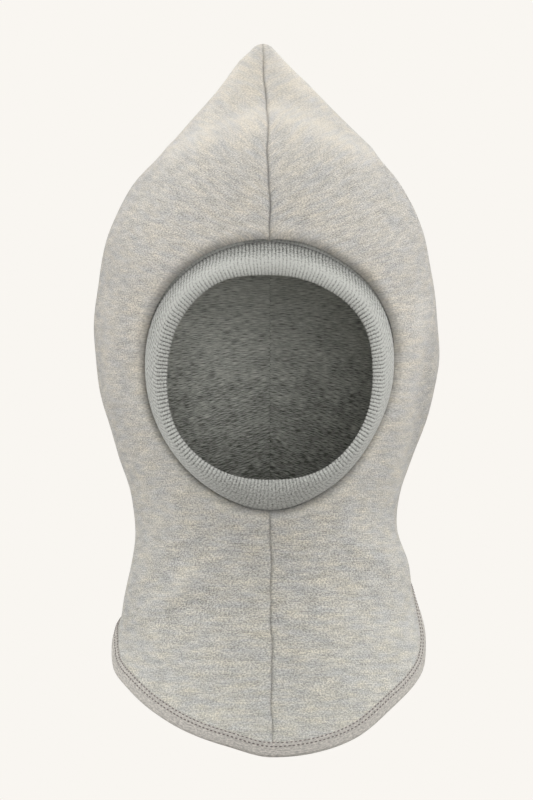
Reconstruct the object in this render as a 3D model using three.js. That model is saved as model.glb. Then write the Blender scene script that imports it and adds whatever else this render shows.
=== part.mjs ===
// A child's pointed wool hood (balaclava): two mirrored fleece panels sewn along the crown, the back and
// the chin, a jersey lining behind them, a doubled rib cuff round the face and a folded strip along the hem.
//
// Millimetres, +Z up, the face looks along -Y. The origin is where the crown of the head sits inside the
// hood, on the head's axis. The hood has the form that it keeps on a head, empty inside.
//
// Every cloth piece comes from one skin: level sections, a row of the table for each, give its width and
// depth at a height. A panel is a grid laid on that skin, from the face edge out to the back seam and hem.

import * as THREE from "three";

// Cloth thicknesses and the gap that sewn pieces keep.
const FLEECE = 2.4;
const LINING = 1.2;
const PIECE_GAP = 0.35;
const SEAM_GAP = 0.4;

// The skin's level sections. left and right are half-widths from the centre seam, seam is how far that seam
// stands to the right of the axis, and front and back are depths before and behind the axis. mid is how far
// behind the axis a section is widest.
const SECTIONS = [
  { z: 48.8, left: 3.2, right: 3.2, front: -8, back: 12, mid: 10, seam: -2.6 },
  { z: 40, left: 11.2, right: 10.6, front: -3, back: 17.5, mid: 10.5, seam: -2.2 },
  { z: 28, left: 22.4, right: 22.6, front: 2.5, back: 27, mid: 11, seam: -1.6 },
  { z: 14, left: 35.6, right: 36.4, front: 11, back: 38.5, mid: 11, seam: -0.8 },
  { z: 4, left: 45.4, right: 46.4, front: 24, back: 46.5, mid: 10, seam: -0.4 },
  { z: -8, left: 57, right: 57, front: 40, back: 55.5, mid: 9, seam: -0.1 },
  { z: -20, left: 68, right: 66.6, front: 54, back: 64, mid: 8, seam: 0.3 },
  { z: -32, left: 75.6, right: 73, front: 65, back: 72, mid: 7, seam: 0.6 },
  { z: -44, left: 81, right: 76.8, front: 73.5, back: 79, mid: 6, seam: 0.8 },
  { z: -62, left: 85.4, right: 80.8, front: 82.5, back: 86.5, mid: 5, seam: 1 },
  { z: -86, left: 87.7, right: 84, front: 87, back: 92.5, mid: 4, seam: 1 },
  { z: -110, left: 86.9, right: 84.8, front: 88, back: 93.5, mid: 3, seam: 1 },
  { z: -134, left: 82.8, right: 80.4, front: 86.5, back: 89, mid: 2, seam: 1 },
  { z: -158, left: 75.6, right: 71.4, front: 82.5, back: 79, mid: 0, seam: 1 },
  { z: -176, left: 69.3, right: 65, front: 78, back: 68.5, mid: -3, seam: 1 },
  { z: -194, left: 67.2, right: 64, front: 73.5, back: 61.5, mid: -4, seam: 1 },
  { z: -212, left: 69.8, right: 69.2, front: 71, back: 60, mid: -4, seam: 1.2 },
  { z: -230, left: 73.8, right: 71.6, front: 70.5, back: 63.5, mid: -3, seam: 1.4 },
  { z: -254, left: 76.8, right: 77, front: 72.5, back: 70.5, mid: -2, seam: 1.6 },
  { z: -280, left: 81.8, right: 81.2, front: 75.5, back: 77, mid: -1, seam: 1.8 },
  { z: -306, left: 85, right: 83, front: 79.5, back: 83, mid: 0, seam: 2 },
];
const PEAK_Z = SECTIONS[0].z;
const PEAK_RADIUS = 6.5;
const PEAK_HALF_ANGLE = THREE.MathUtils.degToRad(42.6);

// The face edge, where panels and cuff meet, and the cuff's free rim, as radii round the face's centre seen
// from the front. angle runs from the top to the chin.
const FACE_Z = -118;
const FACE = [
  { angle: 0, leftEdge: 68.6, rightEdge: 68.6, leftRim: 48.2, rightRim: 48.2 },
  { angle: 30, leftEdge: 69, rightEdge: 68.2, leftRim: 51, rightRim: 49.4 },
  { angle: 60, leftEdge: 68, rightEdge: 68.2, leftRim: 50.8, rightRim: 51.4 },
  { angle: 90, leftEdge: 64.4, rightEdge: 63.2, leftRim: 49.8, rightRim: 49.6 },
  { angle: 120, leftEdge: 62.8, rightEdge: 61, leftRim: 52.2, rightRim: 50.8 },
  { angle: 150, leftEdge: 64.4, rightEdge: 63.8, leftRim: 51.8, rightRim: 51.8 },
  { angle: 180, leftEdge: 67, rightEdge: 67, leftRim: 50.4, rightRim: 50.4 },
];

// The hem's height round the hood. angle runs from the chin seam to the back seam.
const HEM = [
  { angle: 0, left: -301.5, right: -301.5 },
  { angle: 15, left: -296.6, right: -299.4 },
  { angle: 30, left: -290, right: -292.8 },
  { angle: 45, left: -280.6, right: -280.2 },
  { angle: 60, left: -270.6, right: -269.2 },
  { angle: 75, left: -262, right: -257 },
  { angle: 90, left: -250, right: -236 },
  { angle: 105, left: -244.6, right: -225 },
  { angle: 120, left: -249, right: -234 },
  { angle: 135, left: -260, right: -251 },
  { angle: 150, left: -270, right: -266 },
  { angle: 165, left: -279, right: -277.6 },
  { angle: 180, left: -283, right: -283 },
];

// Soft folds and drag lines, as ridges (height over zero) or dents along a line seen from the front.
const FOLDS = [
  { x0: 74, z0: -88, x1: 64, z1: -176, width: 6, height: 1.9 },
  { x0: 83, z0: -104, x1: 70, z1: -160, width: 5, height: -1 },
  { x0: -80, z0: -84, x1: -76, z1: -128, width: 5, height: 1 },
  { x0: -46, z0: -7, x1: -5, z1: 10, width: 6.5, height: 2.2 },
  { x0: 47, z0: -8, x1: 4, z1: 10, width: 6.5, height: 2.2 },
  { x0: -68, z0: -232, x1: -38, z1: -200, width: 5, height: -0.9 },
  { x0: -70, z0: -243, x1: -28, z1: -228, width: 5, height: -0.9 },
  { x0: -64, z0: -238, x1: -36, z1: -215, width: 5, height: 0.8 },
  { x0: 66, z0: -222, x1: 38, z1: -206, width: 5, height: -0.8 },
  { x0: 70, z0: -246, x1: 34, z1: -238, width: 6, height: 0.7 },
];

// How the panels' edges are finished.
const LIP_RADIUS = 5;
const SEAM_GROOVE = { depth: 1.3, width: 6.5 };
const HEM_PRESS = { fleece: 1.3, lining: 0.8, reach: 9 };
const HEM_FLARE = { left: 1.9, right: 0.5, reach: 7 };

// The doubled rib cuff: its thickness, its slant width from seam to rim, and the seam allowance behind.
const CUFF = { thickness: 3, width: 19, allowance: 4.6, allowanceThickness: 1.6, rise: 6.5 };

// The cuff's form, from the top to the chin. It starts this far under the lip, leaning in by some degrees,
// and its crest stands this far above the rim and back from it, as a share of the way in. Above the brow
// that leaves a valley between lip and cuff.
const CUFF_FORM = [
  { angle: 0, sink: 2.6, lean: 54, crest: 2.6, back: 0.25 },
  { angle: 30, sink: 2.3, lean: 47, crest: 2.4, back: 0.25 },
  { angle: 60, sink: 1.6, lean: 30, crest: 2, back: 0.26 },
  { angle: 90, sink: 1.1, lean: 16, crest: 1.8, back: 0.27 },
  { angle: 120, sink: 0.9, lean: 8, crest: 1.6, back: 0.3 },
  { angle: 150, sink: 0.9, lean: 2, crest: 1.6, back: 0.3 },
  { angle: 180, sink: 0.9, lean: 0, crest: 1.6, back: 0.3 },
];

// The strip folded over the hem.
const STRIP = { width: 6, thickness: 0.9, gap: 0.6 };

// How a panel's grid is laid out: how far round the face its lines end on the back seam, the height at which
// the belt between its two patches meets that seam, and how its lines bend. STEPS counts its cells.
const PATCH = { backShare: 0.55, beltBackZ: -44, beltSlant: 0.8, slantShare: 0.3, lineReach: 42 };
const STEPS = { back: 11, hem: 15, across: 7, crown: 10 };

const WOOL = { color: 0xc9c5bc, roughness: 0.95, metalness: 0 };
const JERSEY = { color: 0x6a6b67, roughness: 0.95, metalness: 0 };
const RIB = { color: 0xb4b5b0, roughness: 0.9, metalness: 0 };
const BINDING = { color: 0xbcb5ad, roughness: 0.92, metalness: 0 };

// A smooth curve through a table's rows: cubic pieces whose slope at a row is the parabola's through it and
// its neighbours.
function curveThrough(rows, at, name) {
  const sorted = [...rows].sort((a, b) => a[at] - b[at]);
  const xs = sorted.map((row) => row[at]);
  const ys = sorted.map((row) => row[name]);
  const steps = xs.slice(1).map((x, i) => x - xs[i]);
  const rises = steps.map((step, i) => (ys[i + 1] - ys[i]) / step);
  const slopes = xs.map((_, i) => {
    if (i === 0) return rises[0];
    if (i === xs.length - 1) return rises[i - 1];
    return (steps[i] * rises[i - 1] + steps[i - 1] * rises[i]) / (steps[i] + steps[i - 1]);
  });
  return (x) => {
    const clamped = Math.min(Math.max(x, xs[0]), xs[xs.length - 1]);
    let i = 0;
    while (i < steps.length - 1 && clamped > xs[i + 1]) i += 1;
    const t = (clamped - xs[i]) / steps[i];
    const rest = 1 - t;
    return (
      ys[i] * rest * rest * (1 + 2 * t) +
      ys[i + 1] * t * t * (3 - 2 * t) +
      steps[i] * t * rest * (slopes[i] * rest - slopes[i + 1] * t)
    );
  };
}

// A table that runs from one seam to the other is mirrored at both ends, so that its curve crosses a seam
// square to it.
function mirrored(rows) {
  const last = rows[rows.length - 1].angle;
  const before = rows.slice(1, 3).map((row) => ({ ...row, angle: -row.angle }));
  const after = rows.slice(-3, -1).map((row) => ({ ...row, angle: 2 * last - row.angle }));
  return [...before, ...rows, ...after];
}

const section = Object.fromEntries(
  ["left", "right", "front", "back", "mid", "seam"].map((name) => [name, curveThrough(SECTIONS, "z", name)]),
);
const roundFace = (name) => curveThrough(mirrored(FACE), "angle", name);
const faceEdge = { left: roundFace("leftEdge"), right: roundFace("rightEdge") };
const cuffRim = { left: roundFace("leftRim"), right: roundFace("rightRim") };
const roundHem = (name) => curveThrough(mirrored(HEM), "angle", name);
const hemHeight = { left: roundHem("left"), right: roundHem("right") };
const cuffForm = Object.fromEntries(
  ["sink", "lean", "crest", "back"].map((name) => [name, curveThrough(mirrored(CUFF_FORM), "angle", name)]),
);
const SIDES = { left: -1, right: 1 };

const smoothStep = THREE.MathUtils.smoothstep;
const mix = THREE.MathUtils.lerp;

// The share of a section that is left near the peak, where the cone ends in a ball of PEAK_RADIUS.
function peakRounding(z) {
  const below = Math.max(PEAK_Z - z, 0);
  const tangentBelow = PEAK_RADIUS * (1 - Math.sin(PEAK_HALF_ANGLE));
  if (below > tangentBelow) return 1;
  const apexAbove = PEAK_RADIUS * (1 / Math.sin(PEAK_HALF_ANGLE) - 1);
  const ball = Math.sqrt(2 * PEAK_RADIUS * below - below * below);
  return ball / ((below + apexAbove) * Math.tan(PEAK_HALF_ANGLE));
}

// A point of the bare skin. turn is 0 at the front seam, a quarter turn at the side and a half turn at the
// back seam. A section is a half ellipse to the front and another to the back.
function skin(side, turn, z) {
  const share = peakRounding(z);
  const mid = section.mid(z);
  const depth = Math.cos(turn) > 0 ? mid + section.front(z) : section.back(z) - mid;
  const across = SEAM_GAP / 2 + share * section[side](z) * Math.sin(turn);
  return new THREE.Vector3(section.seam(z) + SIDES[side] * across, mid - share * depth * Math.cos(turn), z);
}

// The way down the skin from the peak, measured on its mean radius, and the height at which it is reached.
const WAY_STEPS = 400;
const LOWEST_Z = SECTIONS[SECTIONS.length - 1].z;
const way = [{ z: PEAK_Z, down: 0 }];
for (let i = 1; i <= WAY_STEPS; i += 1) {
  const z = mix(PEAK_Z, LOWEST_Z, (i / WAY_STEPS) ** 1.6);
  const radius = (at) =>
    (peakRounding(at) * (section.left(at) + section.right(at) + section.front(at) + section.back(at))) / 4;
  const last = way[way.length - 1];
  way.push({ z, down: last.down + Math.hypot(z - last.z, radius(z) - radius(last.z)) });
}

function lookUp(value, from, to) {
  const rising = way[1][from] > way[0][from];
  let i = 0;
  while (i < way.length - 2 && (rising ? value > way[i + 1][from] : value < way[i + 1][from])) i += 1;
  const t = (value - way[i][from]) / (way[i + 1][from] - way[i][from]);
  return mix(way[i][to], way[i + 1][to], t);
}
const wayDown = (z) => lookUp(z, "z", "down");
const heightOfWay = (down) => lookUp(down, "down", "z");

// The layout sheet: the skin's half opened flat like a cone round the peak, as polar coordinates.
const SHEET_ANGLE = 0.44;
const onSheet = (turn, z) => {
  const down = wayDown(z);
  return new THREE.Vector2(down * Math.cos(SHEET_ANGLE * turn), down * Math.sin(SHEET_ANGLE * turn));
};

// The face edge on the sheet. u runs from 0 at the crown seam to 1 at the chin seam.
function edgeOnSheet(side, u) {
  const around = Math.PI * Math.abs(u);
  const radius = faceEdge[side](THREE.MathUtils.radToDeg(around));
  const z = FACE_Z + radius * Math.cos(around);
  const turn = Math.asin(Math.min(1, Math.abs(radius * Math.sin(around)) / section[side](z)));
  const point = onSheet(turn, z);
  if (u < 0 || u > 1) point.y = -point.y;
  return point;
}

// The side patch's far edge on the sheet: down the back seam from its belt, then along the hem to the chin.
function farOnSheet(side, u) {
  if (u > PATCH.backShare) {
    const turn = (Math.PI * (1 - u)) / (1 - PATCH.backShare);
    return onSheet(turn, hemHeight[side](THREE.MathUtils.radToDeg(turn)));
  }
  const from = wayDown(PATCH.beltBackZ);
  const to = wayDown(hemHeight[side](180));
  const down = mix(from, to, u / PATCH.backShare);
  return new THREE.Vector2(down, 0).rotateAround(new THREE.Vector2(), SHEET_ANGLE * Math.PI);
}

// A panel is laid out in two patches. The side patch's lines leave the face edge square to it and bend to
// the far edge, as parabolas with one control point. Its first line, the belt, leaves the top of the face
// slantwise and is where the crown patch begins, whose lines run straight on to the peak.
const SHEET_STEP = 1e-4;
function sidePatch(side, u, v) {
  const edge = edgeOnSheet(side, u);
  const along = edgeOnSheet(side, u + SHEET_STEP).sub(edgeOnSheet(side, u - SHEET_STEP));
  const slant = PATCH.beltSlant * (1 - smoothStep(u, 0, PATCH.slantShare));
  const outward = new THREE.Vector2(-along.y, along.x).normalize().rotateAround(new THREE.Vector2(), -slant);
  const control = edge.clone().addScaledVector(outward, PATCH.lineReach);
  const point = edge
    .multiplyScalar((1 - v) ** 2)
    .addScaledVector(control, 2 * v * (1 - v))
    .addScaledVector(farOnSheet(side, u), v * v);
  return { turn: Math.min(Math.PI, Math.max(0, point.angle() / SHEET_ANGLE)), z: heightOfWay(point.length()) };
}
function crownPatch(side, w, v) {
  const start = sidePatch(side, 0, v);
  return { turn: start.turn, z: heightOfWay(wayDown(start.z) * (1 - w)) };
}
const PATCHES = { side: sidePatch, crown: crownPatch };

// The bare skin at a grid place, which names its side, its patch and its two shares.
const place = (at) => PATCHES[at.patch](at.side, at.a, at.b);
function bare(at) {
  const { turn, z } = place(at);
  return skin(at.side, turn, z);
}

// The normal of a surface given as a function of a grid place, from differences kept inside the patch. It
// points out of the hood, and up at the peak.
function normalOf(surface, at) {
  const step = 1e-3;
  if (at.patch === "crown" && at.a > 1 - step) return new THREE.Vector3(0, 0, 1);
  const across = (name) => {
    const ahead = { ...at, [name]: Math.min(at[name] + step, 1) };
    const behind = { ...at, [name]: Math.max(at[name] - step, 0) };
    return surface(ahead).sub(surface(behind));
  };
  const handed = at.patch === "side" ? SIDES[at.side] : -SIDES[at.side];
  return across("a").cross(across("b")).normalize().multiplyScalar(handed);
}

// How far above its hem edge a point lies, along the way down the skin.
const aboveHem = (side, { turn, z }) => wayDown(hemHeight[side](THREE.MathUtils.radToDeg(turn))) - wayDown(z);

// How far a point of the bare skin lies from the face edge, along the line from the face's centre.
function fromFace(side, point) {
  const x = Math.abs(point.x - section.seam(point.z)) - SEAM_GAP / 2;
  const u = Math.atan2(Math.max(0, x), point.z - FACE_Z) / Math.PI;
  return point.distanceTo(bare({ side, patch: "side", a: u, b: 0 }));
}

// A quarter-round at an edge: how deep the surface has rolled at a distance from the edge.
const roll = (distance, radius) =>
  distance >= radius ? 0 : radius - Math.sqrt(radius ** 2 - (radius - distance) ** 2);

// Folds add a bell-shaped ridge round a line seen from the front. They fade out behind the side line.
function foldHeight(point, turn) {
  const facing = smoothStep(Math.cos(turn), -0.05, 0.3);
  return FOLDS.reduce((sum, fold) => {
    const dx = fold.x1 - fold.x0;
    const dz = fold.z1 - fold.z0;
    const along = ((point.x - fold.x0) * dx + (point.z - fold.z0) * dz) / (dx * dx + dz * dz);
    const nearest = Math.min(1, Math.max(0, along));
    const away = Math.hypot(point.x - fold.x0 - nearest * dx, point.z - fold.z0 - nearest * dz);
    return sum + facing * fold.height * Math.exp(-((away / fold.width) ** 2));
  }, 0);
}

// A panel's face: the skin with its folds, sunk along the seams, flared at the hem and rolled in at the
// face edge. The outer face is sunk in full, and the face that inner layers follow isn't, so that the
// linings meet at the seams.
const outerFace = (at) => panelFace(at, 1);
const innerFace = (at) => panelFace(at, 0);
function panelFace(at, sunk) {
  const { turn, z } = place(at);
  const point = skin(at.side, turn, z);
  const fromSeam = Math.abs(point.x - section.seam(z)) - SEAM_GAP / 2;
  const hemShare = Math.exp(-((aboveHem(at.side, { turn, z }) / HEM_FLARE.reach) ** 2));
  const groove = sunk * SEAM_GROOVE.depth * Math.max(0, 1 - fromSeam / SEAM_GROOVE.width) ** 2;
  const lip = turn < Math.PI / 2 ? roll(fromFace(at.side, point), LIP_RADIUS) : 0;
  const height =
    foldHeight(point, turn) +
    HEM_FLARE[at.side] * hemShare * Math.sin(turn) -
    groove * smoothStep(PEAK_Z - z, 0, 12) * (1 - hemShare) -
    lip;
  return point.addScaledVector(normalOf(bare, at), height);
}

// A point under the outer face, by its depth. Inside the peak, which is tighter than the cloth is thick,
// the surface shrinks towards the peak's middle.
const PEAK_CORE = { below: 14, shrink: 9, near: 8, far: 26 };
function under(at, depth) {
  if (depth === 0) return outerFace(at);
  const face = innerFace(at);
  const square = face.clone().addScaledVector(normalOf(innerFace, at), -depth);
  const seam = section.seam(PEAK_Z) + (SIDES[at.side] * SEAM_GAP) / 2;
  const core = new THREE.Vector3(seam, section.mid(PEAK_Z), PEAK_Z - PEAK_CORE.below);
  const shrunk = core.lerp(face, 1 - depth / PEAK_CORE.shrink);
  return shrunk.lerp(square, smoothStep(PEAK_Z - face.z, PEAK_CORE.near, PEAK_CORE.far));
}

// The cloth is pressed thin towards the hem, where it is stitched down.
const pressed = (at, full, atHem) => mix(atHem, full, smoothStep(aboveHem(at.side, place(at)), 0, HEM_PRESS.reach));
const fleeceDepth = (at) => pressed(at, FLEECE, HEM_PRESS.fleece);
const liningTop = (at) => fleeceDepth(at) + PIECE_GAP;
const liningDepth = (at) => liningTop(at) + pressed(at, LINING, HEM_PRESS.lining);

// The grid's stations: close together at the seams, the rolled face edge, the hem and the peak.
const spread = (count, from, to, power = 1) =>
  Array.from({ length: count + 1 }, (_, i) => mix(from, to, (i / count) ** power));
const lipStations = [0, 0.14, 0.5].map((share) => (share * LIP_RADIUS) / (2 * PATCH.lineReach));
const AROUND_FACE = [
  0,
  ...spread(STEPS.back, 0.03, PATCH.backShare),
  ...spread(STEPS.hem, PATCH.backShare + 0.02, 0.97, 0.95),
  0.991,
  1,
];
const ACROSS = [...lipStations, ...spread(STEPS.across, LIP_RADIUS / (2 * PATCH.lineReach), 0.96, 1.1), 1];
const TO_PEAK = [0.005, 0.018, ...spread(STEPS.crown, 0.038, 1, 0.8)];

// The grid places of a panel and the triangles between them, turned outwards. A cell is cut along its
// shorter diagonal.
function panelGrid(side) {
  const places = AROUND_FACE.flatMap((a) => ACROSS.map((b) => ({ side, patch: "side", a, b })));
  const crownRows = TO_PEAK.slice(0, -1);
  places.push(...crownRows.flatMap((a) => ACROSS.map((b) => ({ side, patch: "crown", a, b }))));
  places.push({ side, patch: "crown", a: 1, b: 0 });
  const width = ACROSS.length;
  const sideRows = AROUND_FACE.map((_, i) => i * width);
  const crown = [0, ...crownRows.map((_, i) => (AROUND_FACE.length + i) * width)];
  const triangles = [];
  const add = (a, b, c) => triangles.push(side === "right" ? [a, b, c] : [a, c, b]);
  const laid = places.map(bare);
  const band = (from, to) => {
    for (let j = 0; j < width - 1; j += 1) {
      const [a, b, c, d] = [from + j, to + j, to + j + 1, from + j + 1];
      if (laid[a].distanceTo(laid[c]) < laid[b].distanceTo(laid[d])) {
        add(a, b, c);
        add(a, c, d);
      } else {
        add(a, b, d);
        add(b, c, d);
      }
    }
  };
  for (let i = 0; i < sideRows.length - 1; i += 1) band(sideRows[i], sideRows[i + 1]);
  for (let i = 0; i < crown.length - 1; i += 1) band(crown[i + 1], crown[i]);
  const last = crown[crown.length - 1];
  for (let j = 0; j < width - 1; j += 1) add(places.length - 1, last + j, last + j + 1);
  return { places, triangles };
}

function meshOf(name, points, triangles, finish) {
  const geometry = new THREE.BufferGeometry();
  geometry.setAttribute("position", new THREE.Float32BufferAttribute(points.flatMap((p) => [p.x, p.y, p.z]), 3));
  geometry.setIndex(triangles.flat());
  geometry.computeVertexNormals();
  const mesh = new THREE.Mesh(geometry, new THREE.MeshStandardMaterial(finish));
  mesh.name = name;
  return mesh;
}

// A wall between two depths under a panel's outer face. Its rim joins the edges that have one triangle.
function wall(name, side, top, bottom, finish) {
  const { places, triangles } = panelGrid(side);
  const count = places.length;
  const points = [...places.map((at) => under(at, top(at))), ...places.map((at) => under(at, bottom(at)))];
  const edges = triangles.flatMap(([a, b, c]) => [[a, b], [b, c], [c, a]]);
  const known = new Set(edges.map(([a, b]) => a * count + b));
  const rim = edges
    .filter(([a, b]) => !known.has(b * count + a))
    .flatMap(([a, b]) => [[b, a, a + count], [b, a + count, b + count]]);
  const underside = triangles.map(([a, b, c]) => [a + count, c + count, b + count]);
  return meshOf(name, points, [...triangles, ...underside, ...rim], finish);
}

// A ring through closed sections, each a list of as many points.
function ring(name, sections, finish) {
  const count = sections[0].length;
  const triangles = [];
  sections.forEach((_, i) => {
    const here = i * count;
    const next = ((i + 1) % sections.length) * count;
    for (let j = 0; j < count; j += 1) {
      const k = (j + 1) % count;
      triangles.push([here + j, next + k, next + j], [here + j, here + k, next + k]);
    }
  });
  return meshOf(name, sections.flat(), triangles, finish);
}

// The sections of a closed loop: down the right panel's stations and back up the left one's. Where the
// panels meet, the section is the middle of the two.
function loop(stations, sectionAt) {
  const ends = [stations[0], stations[stations.length - 1]];
  const between = (u) => {
    const left = sectionAt("left", u);
    return sectionAt("right", u).map((point, i) => point.add(left[i]).multiplyScalar(0.5));
  };
  const inner = stations.slice(1, -1);
  return [
    between(ends[0]),
    ...inner.map((u) => sectionAt("right", u)),
    between(ends[1]),
    ...inner.reverse().map((u) => sectionAt("left", u)),
  ];
}

// The cuff. Each section lies in a plane through the face's axis: x runs in towards the axis, y forwards.
// Its middle line leaves the seam along the cloth's normal, bulges and comes down to the rim.
const CUFF_STEPS = 6;
function cuffSection(side, u) {
  const at = { side, patch: "side", a: u, b: 0 };
  const point = outerFace(at);
  const normal = normalOf(bare, at);
  const axis = new THREE.Vector3(section.seam(FACE_Z), point.y, FACE_Z);
  const inward = axis.clone().sub(point).normalize();
  const forward = new THREE.Vector3(0, -1, 0);
  const out = new THREE.Vector2(normal.dot(inward), normal.dot(forward)).normalize();
  const from = (across, up) => new THREE.Vector2(out.y * across + out.x * up, out.y * up - out.x * across);
  const half = CUFF.thickness / 2;
  const drop = point.distanceTo(axis) - cuffRim[side](180 * u);
  const lift = Math.sqrt(Math.max(CUFF.width ** 2 - drop ** 2, 0));
  const sink = cuffForm.sink(180 * u);
  const lean = THREE.MathUtils.degToRad(cuffForm.lean(180 * u));
  const start = from(PIECE_GAP + half, -sink);
  const end = new THREE.Vector2(drop - half, lift);
  const middle = new THREE.CubicBezierCurve(
    start,
    start.clone().add(from(CUFF.rise * Math.sin(lean), CUFF.rise * Math.cos(lean))),
    new THREE.Vector2(end.x - cuffForm.back(180 * u) * drop, end.y + cuffForm.crest(180 * u)),
    end,
  );
  const layer = (t, offset) => {
    const tangent = middle.getTangent(t);
    return middle.getPoint(t).add(new THREE.Vector2(-tangent.y * offset, tangent.x * offset));
  };
  const steps = spread(CUFF_STEPS, 0, 1);
  const flat = [
    ...steps.slice(1).map((t) => layer(t, half)),
    end.clone().addScaledVector(middle.getTangent(1), half),
    ...steps.reverse().slice(0, -1).map((t) => layer(t, -half)),
    from(PIECE_GAP + CUFF.thickness, -sink - CUFF.allowanceThickness),
    from(-CUFF.allowance, -sink - CUFF.allowanceThickness),
    from(-CUFF.allowance, -sink),
    from(PIECE_GAP, -sink),
  ];
  return flat.map((p) => point.clone().addScaledVector(inward, p.x).addScaledVector(forward, p.y));
}

// The strip folded over the hem: a U whose legs follow the two pressed cloths up from their edge.
function stripSection(side, u) {
  const near = 0.02;
  const at = (b, a = u) => ({ side, patch: "side", a, b });
  const next = outerFace(at(1, Math.min(u + near, 1)));
  const along = next.sub(outerFace(at(1, Math.max(u - near, PATCH.backShare))));
  const down = normalOf(outerFace, at(1)).cross(along).normalize().multiplyScalar(SIDES[side]);
  const line = outerFace(at(1)).sub(outerFace(at(1 - near)));
  const reach = (STRIP.width * near) / Math.max(line.dot(down), 0.5 * line.length());
  const rises = [1 - reach, 1 - reach / 2, 1];
  const outside = (b, out) => under(at(b), -STRIP.gap - out);
  const inside = (b, out) => under(at(b), liningDepth(at(b)) + STRIP.gap + out);
  const bend = (leg, out, beyond) =>
    leg(1, out * STRIP.thickness).addScaledVector(down, PIECE_GAP + beyond * STRIP.thickness);
  const middle = outside(1, 0).add(inside(1, 0)).multiplyScalar(0.5);
  return [
    ...rises.map((b) => outside(b, 0)),
    bend(outside, 0, 0),
    bend(inside, 0, 0),
    ...rises.toReversed().map((b) => inside(b, 0)),
    ...rises.map((b) => inside(b, STRIP.thickness)),
    bend(inside, 0.4, 0.7),
    middle.addScaledVector(down, PIECE_GAP + STRIP.thickness),
    bend(outside, 0.4, 0.7),
    ...rises.toReversed().map((b) => outside(b, STRIP.thickness)),
  ];
}

const hood = new THREE.Group();
for (const side of Object.keys(SIDES)) {
  hood.add(wall(`outer_panel_${side}`, side, () => 0, fleeceDepth, WOOL));
  hood.add(wall(`lining_${side}`, side, liningTop, liningDepth, JERSEY));
}
hood.add(ring("face_rib", loop(AROUND_FACE, cuffSection), RIB));
hood.add(ring("hem_strip", loop(AROUND_FACE.filter((u) => u >= PATCH.backShare), stripSection), BINDING));

export default hood;
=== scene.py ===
# %% [markdown]
# A child's pointed wool hood. It is two mirrored panels of brushed wool fleece, sewn along the crown, the
# back and the chin, with a dark jersey lining behind them. A doubled rib cuff runs round the face and a
# narrow strip is folded over the hem. Everything below is cut from one mathematical skin, as the real
# cloths are cut from one pattern: each piece lies at its own depth under that skin.

import bpy
import numpy as np
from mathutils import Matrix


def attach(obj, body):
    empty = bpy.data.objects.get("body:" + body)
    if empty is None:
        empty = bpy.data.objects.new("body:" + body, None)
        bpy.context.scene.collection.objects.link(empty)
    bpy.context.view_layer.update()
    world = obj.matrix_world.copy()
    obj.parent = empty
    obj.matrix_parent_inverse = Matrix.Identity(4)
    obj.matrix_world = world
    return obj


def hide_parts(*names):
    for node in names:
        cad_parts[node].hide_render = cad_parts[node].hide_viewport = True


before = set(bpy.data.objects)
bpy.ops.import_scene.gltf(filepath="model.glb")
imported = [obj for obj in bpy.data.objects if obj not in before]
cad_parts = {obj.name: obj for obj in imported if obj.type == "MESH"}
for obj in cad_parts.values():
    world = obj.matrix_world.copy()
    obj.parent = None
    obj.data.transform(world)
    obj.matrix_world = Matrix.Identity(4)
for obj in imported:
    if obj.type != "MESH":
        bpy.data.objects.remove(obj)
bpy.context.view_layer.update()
MM = 0.001
print("nodes:", sorted(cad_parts))

# %% [markdown]
# The skin is a stack of level sections. Each section is two half ellipses joined at their widest point,
# so a row of the table is enough: how wide it is left and right of the seam, how far it reaches before
# and behind the axis, where it is widest, and how far the seam stands off the axis. All of it is in mm.
# It is the table of the solids, so the soft pieces lie where their solids do, but the crown's flanks, from
# 28 to -62 mm, are up to 2 mm narrower, where the soft cloth hangs closer than the solid.

# %% Sections
SECTION_NAMES = ("left", "right", "front", "back", "mid", "seam")
SECTIONS = {
    48.8: (3.2, 3.2, -8, 12, 10, -2.6),
    40: (11.2, 10.6, -3, 17.5, 10.5, -2.2),
    28: (21.4, 22.6, 2.5, 27, 11, -1.6),
    14: (34, 36, 11, 38.5, 11, -0.8),
    4: (43.5, 45.3, 24, 46.5, 10, -0.4),
    -8: (55, 55, 40, 55.5, 9, -0.1),
    -20: (66, 64.8, 54, 64, 8, 0.3),
    -32: (74, 71.7, 65, 72, 7, 0.6),
    -44: (79.9, 76, 73.5, 79, 6, 0.8),
    -62: (84.8, 80.4, 82.5, 86.5, 5, 1),
    -86: (87.7, 84, 87, 92.5, 4, 1),
    -110: (86.9, 84.8, 88, 93.5, 3, 1),
    -134: (82.8, 80.4, 86.5, 89, 2, 1),
    -158: (75.6, 71.4, 82.5, 79, 0, 1),
    -176: (69.3, 65, 78, 68.5, -3, 1),
    -194: (67.2, 64, 73.5, 61.5, -4, 1),
    -212: (69.8, 69.2, 71, 60, -4, 1.2),
    -230: (73.8, 71.6, 70.5, 63.5, -3, 1.4),
    -254: (76.8, 77, 72.5, 70.5, -2, 1.6),
    -280: (81.8, 81.2, 75.5, 77, -1, 1.8),
    -306: (85, 83, 79.5, 83, 0, 2),
}
PEAK_Z, BOTTOM_Z, PEAK_RADIUS, PEAK_HALF_ANGLE = 48.8, -306, 6.5, np.radians(42.6)
SIDES = {"left": -1, "right": 1}


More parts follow.
